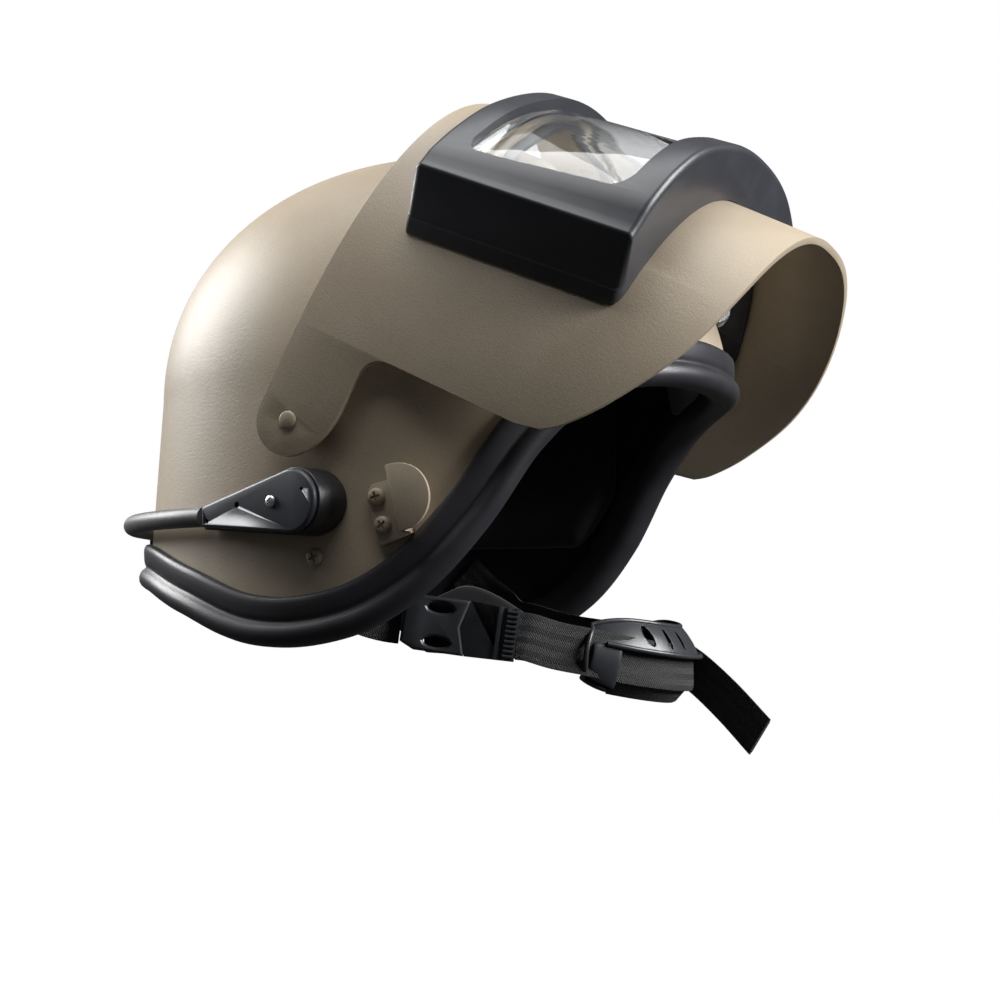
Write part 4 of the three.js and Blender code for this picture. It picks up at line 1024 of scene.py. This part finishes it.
# %% The strap's free end
front_line, _, front_normal = strap_frames(FRONT_ROUTE, 10)
lap = [90, 85, 80]
lap_spots = []
for i in lap:
    spot = front_line[i] + front_normal[i] * 2.0
    facing = math.degrees(math.atan2(-front_normal[i][1], -front_normal[i][0]))
    lap_spots.append((*spot, facing))
TAIL_ROUTE = lap_spots + [
    (29.5, -108.5, -121.5, 146), (20.5, -124, -133.5, 149), (10.5, -141, -149, 150),
]
tail = ribbon("strap_free_end", strap_frames(TAIL_ROUTE, 8))
dress(tail, webbing, "helmet", "strap_tail", slot="webbing")
print("strap length", round(float(np.sum(np.linalg.norm(np.diff(front_line, axis=0), axis=1)))), "mm")

# %% [markdown]
# The side-release buckle is moulded plastic. Its two halves keep the CAD solids' form, with their
# edges rounded, and the bar that grips the webbing gets its row of ribs by Geometry Nodes.

# %% Buckle
socket = softened_copy("buckle_socket", "buckle_socket_body", 0.6, 2, angle=32)
dress(socket, cup_black, "helmet", "buckle_socket", slot="black_plastic")
clip = softened_copy("buckle_clip", "buckle_clip_body", 0.5, 2, angle=32)
dress(clip, cup_black, "helmet", "buckle_clip", slot="black_plastic")


def path_tree(name, material):
    """Sweeps a round section along a curve: the curve is the input geometry, the radius an input."""
    tree, start = start_tree(name, "Radius", 0.001)
    nodes, links = tree.nodes, tree.links
    to_curve = nodes.new("GeometryNodeMeshToCurve")
    circle = nodes.new("GeometryNodeCurvePrimitiveCircle")
    circle.inputs["Resolution"].default_value = 20
    sweep = nodes.new("GeometryNodeCurveToMesh")
    sweep.inputs["Fill Caps"].default_value = True
    links.new(start.outputs["Geometry"], to_curve.inputs[0])
    links.new(to_curve.outputs[0], sweep.inputs["Curve"])
    links.new(start.outputs["Radius"], circle.inputs["Radius"])
    links.new(circle.outputs[0], sweep.inputs["Profile Curve"])
    return end_tree(tree, sweep.outputs[0], material)


def swept(name, lines, radius, material):
    """One mesh of round bars that follow lines of points, in millimetres; a line may be closed."""
    points, edges = [], []
    for line, closed in lines:
        base = len(points)
        points += [tuple(p) for p in to_part(line)]
        edges += [(base + i, base + i + 1) for i in range(len(line) - 1)]
        if closed:
            edges.append((base + len(line) - 1, base))
    mesh = bpy.data.meshes.new(name)
    mesh.from_pydata(points, edges, [])
    obj = add_object(name, mesh)
    run_tree(obj, path_tree(name + "_tree", material), "Radius", radius * MM, 50)
    work = bmesh.new()
    work.from_mesh(obj.data)
    bmesh.ops.recalc_face_normals(work, faces=work.faces)
    work.to_mesh(obj.data)
    work.free()
    return obj


# %% Ribs of the buckle's bar
BUCKLE_OUT = np.array([BUCKLE_ALONG[1], -BUCKLE_ALONG[0], 0]) / math.hypot(BUCKLE_ALONG[0], BUCKLE_ALONG[1])
BUCKLE_UP = np.cross(BUCKLE_OUT, BUCKLE_ALONG)


def on_buckle(along, up, out):
    return BUCKLE_FROM + BUCKLE_ALONG * along + BUCKLE_UP * up + BUCKLE_OUT * out


rib_lines = []
for i in range(10):
    up = -9.2 + i * 2.05
    rib_lines.append((np.array([on_buckle(BUCKLE_LENGTH - a, up, 4.1) for a in (0.8, 3.0, 5.2)]), False))
ribs = swept("buckle_ribs", rib_lines, 0.75, cup_black)
dress(ribs, cup_black, "helmet", slot="black_plastic")

# %% [markdown]
# The chin cup is a shallow dish with a bead round its rim. Its upper half swells forward of the webbing
# and has lens-shaped holes. Two bands of webbing cross in front of its lower half.

# %% Chin cup dish
cup_spots = strap_frames(FRONT_ROUTE, 10)
first, last = 30, 90
cup_line, cup_width, cup_normal = (part[first:last + 1] for part in cup_spots)
cup_share = np.linspace(-1, 1, last - first + 1)
cup_narrow = 1 - 0.34 * np.abs(cup_share) ** 5
CUP_HIGH, CUP_LOW = 18.0, -16.5
cup_low = CUP_LOW + 4.0 * (1 - cup_share ** 2)


def cup_point(i, height, out):
    return cup_line[i] + cup_width[i] * height + cup_normal[i] * out


def cup_dish():
    rows = 16

    def layer(extra):
        grid = np.empty((len(cup_line), rows + 1, 3))
        for i in range(len(cup_line)):
            for r in range(rows + 1):
                part = r / rows
                height = (cup_low[i] + (CUP_HIGH - cup_low[i]) * part) * cup_narrow[i]
                curl = 3.2 * (2 * part - 1) ** 4 + 3.0 * (1 - part) * (1 - cup_share[i] ** 2)
                grid[i, r] = cup_point(i, height, -3.9 - curl - extra)
        return grid

    points, faces = slab(layer(0), layer(2.4))
    dish = make_mesh("chin_cup_dish", to_part(points), faces, sharp=50)
    return dress(dish, cup_black, "helmet", "chin_cup", slot="black_plastic")


cup_dish()

# %% Swollen upper half of the cup: lens holes by place, length, width and lean
LENSES = ((14, 4.9, 2.3, 28), (20, 4.5, 1.3, 14), (25, 4.2, 1.1, 8))


def cup_brow():
    rows = 20

    def layer(extra):
        grid = np.empty((len(cup_line), rows + 1, 3))
        for i in range(len(cup_line)):
            reach = max(0.0, 1 - cup_share[i] ** 2) ** 0.5
            for r in range(rows + 1):
                part = r / rows
                low = 4.5 - 0.5 * abs(cup_share[i])
                height = low + (CUP_HIGH * cup_narrow[i] - low) * part
                swell = math.sin(math.pi * min(1.0, 0.22 + 0.78 * part)) ** 0.8
                out = -5.5 * part + (1.0 + 1.8 * swell) * reach + 1.0 * (1 - part)
                grid[i, r] = cup_point(i, height, out - extra)
        return grid

    points, faces = slab(layer(0), layer(2.2))
    brow = make_mesh("chin_cup_brow", to_part(points), faces, sharp=50)
    other_side = [(len(cup_line) - 1 - i, long, wide, -lean) for i, long, wide, lean in LENSES]
    for i, long, wide, lean in (*LENSES, *other_side):
        turn = math.radians(lean)
        lens = []
        for t in np.linspace(0, 2 * math.pi, 24, endpoint=False):
            a, b = wide * math.cos(t), long * math.sin(t)
            lens.append((a * math.cos(turn) - b * math.sin(turn), a * math.sin(turn) + b * math.cos(turn)))
        along = unit(cup_line[i + 1] - cup_line[i - 1])
        centre = cup_point(i, 11.6, 0)

        def place(a, b, c, centre=centre, along=along, i=i):
            return tuple(to_part(centre + along * a + cup_width[i] * b + cup_normal[i] * c))

        carve(brow, prism("lens", lens, place, -4, 20))
    soften(brow, 0.45, 2, angle=40, sharp=45)
    return dress(brow, cup_black, "helmet", slot="black_plastic")


cup_brow()

# %% Beads of the cup
def cup_rim():
    count = len(cup_line)
    upper = [cup_point(i, CUP_HIGH * cup_narrow[i], -5.0) for i in range(count)]
    inward = 4.8 * (1 - cup_share ** 2)
    lower = [cup_point(i, cup_low[i] * cup_narrow[i], -5.6 - inward[i]) for i in range(count)]

    def end(i, way):
        ends = []
        for t in np.linspace(0, 1, 13)[1:-1]:
            height = (CUP_HIGH + (CUP_LOW - CUP_HIGH) * t) * cup_narrow[i]
            lift = math.sin(math.pi * t) ** 0.5
            spot = cup_point(i, height, -5.3 + 8.2 * lift)
            along = unit(cup_line[min(i + 1, count - 1)] - cup_line[max(i - 1, 0)])
            ends.append(spot + along * way * 3.2 * math.sin(math.pi * t))
        return ends

    outline = upper + end(count - 1, 1) + lower[::-1] + end(0, -1)[::-1]
    reach = np.sqrt(np.maximum(0.0, 1 - cup_share ** 2))
    seam = [cup_point(i, 4.8, 1.5 + 2.4 * reach[i]) for i in range(3, count - 3)]
    beads = swept("chin_cup_beads", [(np.array(outline), True), (np.array(seam), False)], 1.15, cup_black)
    return dress(beads, cup_black, "helmet", slot="black_plastic")


cup_rim()


def cup_flange(name, rows):
    """The flat end of the cup, outside the webbing that runs under it."""
    def layer(extra):
        heights = np.linspace(-0.76, 0.30, 11)
        return np.array([
            [cup_point(i, h * 19 * cup_narrow[i], 2.6 - 5.5 * h * h - extra) for h in heights] for i in rows
        ])

    points, faces = slab(layer(0), layer(1.4))
    flange = make_mesh(name, to_part(points), faces, sharp=50)
    soften(flange, 0.5, 2, angle=50, sharp=60)
    return dress(flange, cup_black, "helmet", slot="black_plastic")


cup_flange("chin_cup_flange_right", range(0, 8))
cup_flange("chin_cup_flange_left", range(53, 61))

# %% Lower band of webbing
low_lean = math.radians(42)
low_width = cup_width * math.cos(low_lean) + cup_normal * math.sin(low_lean)
low_normal = cup_normal * math.cos(low_lean) - cup_width * math.sin(low_lean)
low_line = cup_line - cup_width * 10.2 - cup_normal * 3.9
low_band = ribbon("strap_low_band", (low_line[7:-7], low_width[7:-7], low_normal[7:-7]), 13.0, 1.4)
dress(low_band, webbing, "helmet", slot="webbing")

# %% [markdown]
# The pads are foam under cloth, held flat on the wall. A cushion is usually inflated with the Cloth
# simulation. These are thin and stay flat, so each is a slab whose middle is raised a little, and one
# level of subdivision rounds it. Each keeps the place of its CAD solid.

# %% Padded pieces
def pad(name, outer, inner, node):
    points, faces = slab(outer, inner)
    obj = make_mesh(name, to_part(points), faces, sharp=180)
    rounding = obj.modifiers.new("round", "SUBSURF")
    rounding.levels = rounding.render_levels = 1
    baked(obj, sharp=180)
    dress(obj, pad_cloth, "helmet", node, slot="padding")
    return obj


def shell_pad(name, node, start, end, low, high, beside, thick=10.0, columns=28, rows=14):
    angles = np.linspace(start, end, columns + 1)

    def layer(depth, crown):
        grid = np.empty((rows + 1, columns + 1, 3))
        for r in range(rows + 1):
            for c, angle in enumerate(angles):
                u, v = 2 * c / columns - 1, 2 * r / rows - 1
                full = ((1 - abs(u) ** 5) * (1 - abs(v) ** 5)) ** 0.5
                bottom = float(low(angle))
                height = bottom + (high - bottom) * r / rows
                grid[r, c] = at_height(angle, height, -beside - depth - crown * full)
        return grid

    return pad(name, layer(0, 0), layer(4.0, thick - 4.0), node)


def side_low(angle):
    return max(-60.0, float(edge_height(math.radians(angle))) + 17)


shell_pad("forehead_pad", "pad_front", -40, 40, lambda a: float(edge_height(math.radians(a))) - 3, 62, 12.5)
shell_pad("right_pad", "pad_right", 66, 118, side_low, 20, 10)
shell_pad("left_pad", "pad_left", -118, -66, side_low, 20, 10)
shell_pad("nape_pad", "pad_rear", 142, 218, lambda a: -60.0, 20, 10)


# %% Crown pad and buckle backing
def crown_pad():
    turns = np.linspace(0, 2 * math.pi, 48, endpoint=False)
    upper = SHELL["wall"] + 1.1
    rows = [88, 86, 82, 78, 73, 69, 66.5]
    outer = [on_shell(turns, math.radians(d), np.full(48, -upper)) for d in rows]
    inner = []
    for d in rows:
        depth = -upper - 12 + (3.5 if d < 67 else 0)
        inner.append(on_shell(turns, math.radians(d), np.full(48, depth)))
    rings = outer + inner[::-1]
    top = [[0, 0, SHELL["dome"] - upper], [0, 0, SHELL["dome"] - upper - 12]]
    points = np.concatenate(rings + [top])
    faces = ring_faces(len(rings), 48, closed=False)
    base = len(points) - 2
    for j in range(48):
        k = (j + 1) % 48
        faces.append((base, k, j))
        faces.append((base + 1, (len(rings) - 1) * 48 + j, (len(rings) - 1) * 48 + k))
    obj = make_mesh("crown_pad", to_part(points), faces, sharp=70)
    dress(obj, pad_cloth, "helmet", "pad_crown", slot="padding")


crown_pad()


def backing():
    spots = [buckle_spot(9), buckle_spot(28), buckle_spot(BUCKLE_LENGTH), (-56, -70, -109, 34)]
    line, _, normal = strap_frames(spots, 8)
    rows = 8

    def layer(out, swell):
        grid = np.empty((len(line), rows + 1, 3))
        for i in range(len(line)):
            part = i / (len(line) - 1)
            high = read_table([(0, -90), (0.35, -84), (1, -100)], part)
            low = -112 - 4 * part
            for r in range(rows + 1):
                full = (1 - abs(2 * r / rows - 1) ** 4) * (1 - abs(2 * part - 1) ** 6)
                spot = line[i] - normal[i] * (out + swell * full)
                grid[i, r] = (spot[0], spot[1], low + (high - low) * r / rows)
        return grid

    return pad("buckle_pad", layer(4.7, 0), layer(5.8, 1.4), "buckle_backing")


backing()

# %% [markdown]
# The dark teardrop housings are three mouldings: a base on the shell, a bevelled cover and its screw.
# The cover has shallow round sinks where its hidden pins are.

# %% Housings
def on_housing(backward, downward, outward, sign):
    x = -133 + math.sin(YAW) * backward - math.cos(YAW) * outward
    y = 17.5 + math.cos(YAW) * backward + math.sin(YAW) * outward
    return tuple(to_part((x * -sign, y, -51.5 - downward)))


SINKS = ((29, 0.5, 1.3, 1.2), (-6.5, -4.5, 0.8, 0.8), (46, 6.5, 0.9, 1.2))
for side, sign in (("right", -1), ("left", 1)):
    base = softened_copy(f"housing_{side}", f"housing_base_{side}", 0.5, 2, angle=32)
    dress(base, black, "helmet", f"housing_{side}", slot="black_plastic")
    cover = softened_copy(f"housing_cover_{side}", f"housing_lid_{side}", 0.35, 2, angle=24)
    for backward, downward, radius, depth in SINKS:
        ring = arc(backward, downward, radius, 0, 2 * math.pi, 20)[:-1]
        sink = prism("sink", ring, lambda a, b, c, s=sign: on_housing(a, b, c, s), -depth, 3)
        carve(cover, sink)
    dress(cover, slate, "helmet", f"housing_cover_{side}", slot="slate_plastic")

# %% [markdown]
# The rear tube is one springy hose from housing to housing. Geometry Nodes sweep a round section along
# the same curve as the CAD solid's.

# %% Rear tube
def tube_line():
    start, end = 112.0, 248.0
    spots = []
    for i in range(13):
        share = i / 12
        middle = math.sin(math.pi * share) ** 0.8 if 0 < share < 1 else 0.0
        point = at_height(start + (end - start) * share, -56, 6.2 + (10 - 6.2) * middle)
        spots.append((*point, 0))
    line = smooth_route(spots, 10)
    reach = []
    for p in line:
        x = -abs(p[0])
        reach.append((x + 133) * math.sin(YAW) + (p[1] - 17.5) * math.cos(YAW))
    return line[np.array(reach) > 51.6]


tube_path = tube_line()
tube = swept("rear_hose", [(tube_path, False)], 4.2, tube_grey)
dress(tube, tube_grey, "helmet", "rear_tube", slot="tube_grey")
hose_clip = softened_copy("tube_clip", "hose_clip", 0.5, 2, angle=40)
dress(hose_clip, black, "helmet", "tube_clip", slot="black_plastic")

# %% Rear plate
def rear_plate():
    def layer(out):
        grid = np.empty((13, 25, 3))
        for r in range(13):
            for c in range(25):
                grid[r, c] = at_height(180 + 16 * (c / 12 - 1), -41 + 24 * r / 12, out)
        return grid

    points, faces = slab(layer(2.5), layer(0.5))
    obj = make_mesh("rear_bump", to_part(points), faces)
    soften(obj, 0.8, 3, angle=40)
    return dress(obj, paint, "helmet", "rear_plate", slot="tan_paint")


rear_plate()

# %% [markdown]
# The visor turns on two domed rivets, and two bent steel tabs stop its lower edge. All are painted with
# the shell, so they take the same paint.

# %% Rivets and stop tabs
for side in ("right", "left"):
    rivet = softened_copy(f"hinge_rivet_{side}", f"rivet_{side}", 0.3, 2, angle=30)
    dress(rivet, paint, "helmet", f"hinge_rivet_{side}", slot="tan_paint")
    stop = softened_copy(f"stop_tab_{side}", f"stop_plate_{side}", 0.4, 2, angle=35)
    dress(stop, paint, "helmet", f"stop_tab_{side}", slot="tan_paint")

# %% [markdown]
# The studio has a large soft light overhead, one behind the helmet, one in front of it, and a dim room. The
# backdrop is white: only what looks at it straight, or through the window, sees it that bright, so it
# doesn't wash out the shadows under the visor. The floor is plain and pale. It glows a little, so that it
# looks pale from above too, and it is left out of reflections, so that the glow doesn't light the helmet.

# %% Backdrop
world = bpy.data.worlds.new("studio")
bpy.context.scene.world = world
world.use_nodes = True
sky = world.node_tree
paths = sky.nodes.new("ShaderNodeLightPath")
through = sky.nodes.new("ShaderNodeMath")
through.operation = "MULTIPLY"
through.inputs[1].default_value = 0.75
seen = sky.nodes.new("ShaderNodeMath")
seen.operation = "MAXIMUM"
level = sky.nodes.new("ShaderNodeMapRange")
level.inputs[3].default_value = 0.05
level.inputs[4].default_value = 1.0
sky.links.new(paths.outputs["Is Transmission Ray"], through.inputs[0])
sky.links.new(paths.outputs["Is Camera Ray"], seen.inputs[0])
sky.links.new(through.outputs[0], seen.inputs[1])
sky.links.new(seen.outputs[0], level.inputs[0])
sky.nodes["Background"].inputs[0].default_value = (1, 1, 1, 1)
sky.links.new(level.outputs[0], sky.nodes["Background"].inputs[1])

# %% Floor
FLOOR = dict(size=30.0, height=-3.0)
floor_mesh = bpy.data.meshes.new("floor")
corners = []
for x, y in ((-1, -1), (1, -1), (1, 1), (-1, 1)):
    corners.append((x * FLOOR["size"], y * FLOOR["size"], FLOOR["height"]))
floor_mesh.from_pydata(corners, [], [(0, 1, 2, 3)])
floor = add_object("floor", floor_mesh)
floor_paint = bpy.data.materials.new("floor")
floor_shader = node_maker(floor_paint)[1]
floor_shader.inputs["Base Color"].default_value = (0.9, 0.9, 0.9, 1)
floor_shader.inputs["Roughness"].default_value = 0.9
floor_shader.inputs["Emission Color"].default_value = (1, 1, 1, 1)
floor_shader.inputs["Emission Strength"].default_value = 1.0
floor.visible_diffuse = floor.visible_glossy = False
floor.data.materials.append(floor_paint)


# %% Lights
def area_light(name, place, target, size, power):
    data = bpy.data.lights.new(name, "AREA")
    data.size = size
    data.energy = power
    light = add_object(name, data)
    light.location = place
    light.rotation_mode = "QUATERNION"
    light.rotation_quaternion = (Vector(target) - Vector(place)).to_track_quat("-Z", "Y")
    return light


area_light("overhead light", (-0.22, -0.05, 1.0), (0, 0, -0.05), 1.1, 16)
area_light("rear light", (0.05, 1.2, 0.5), (0, 0, -0.05), 0.7, 24)
area_light("front light", (0.12, -1.25, 0.4), (0, 0, -0.05), 0.7, 32)
bpy.context.scene.view_settings.view_transform = "Standard"
bpy.context.scene.view_settings.look = "None"
bpy.context.scene.view_settings.exposure = 0
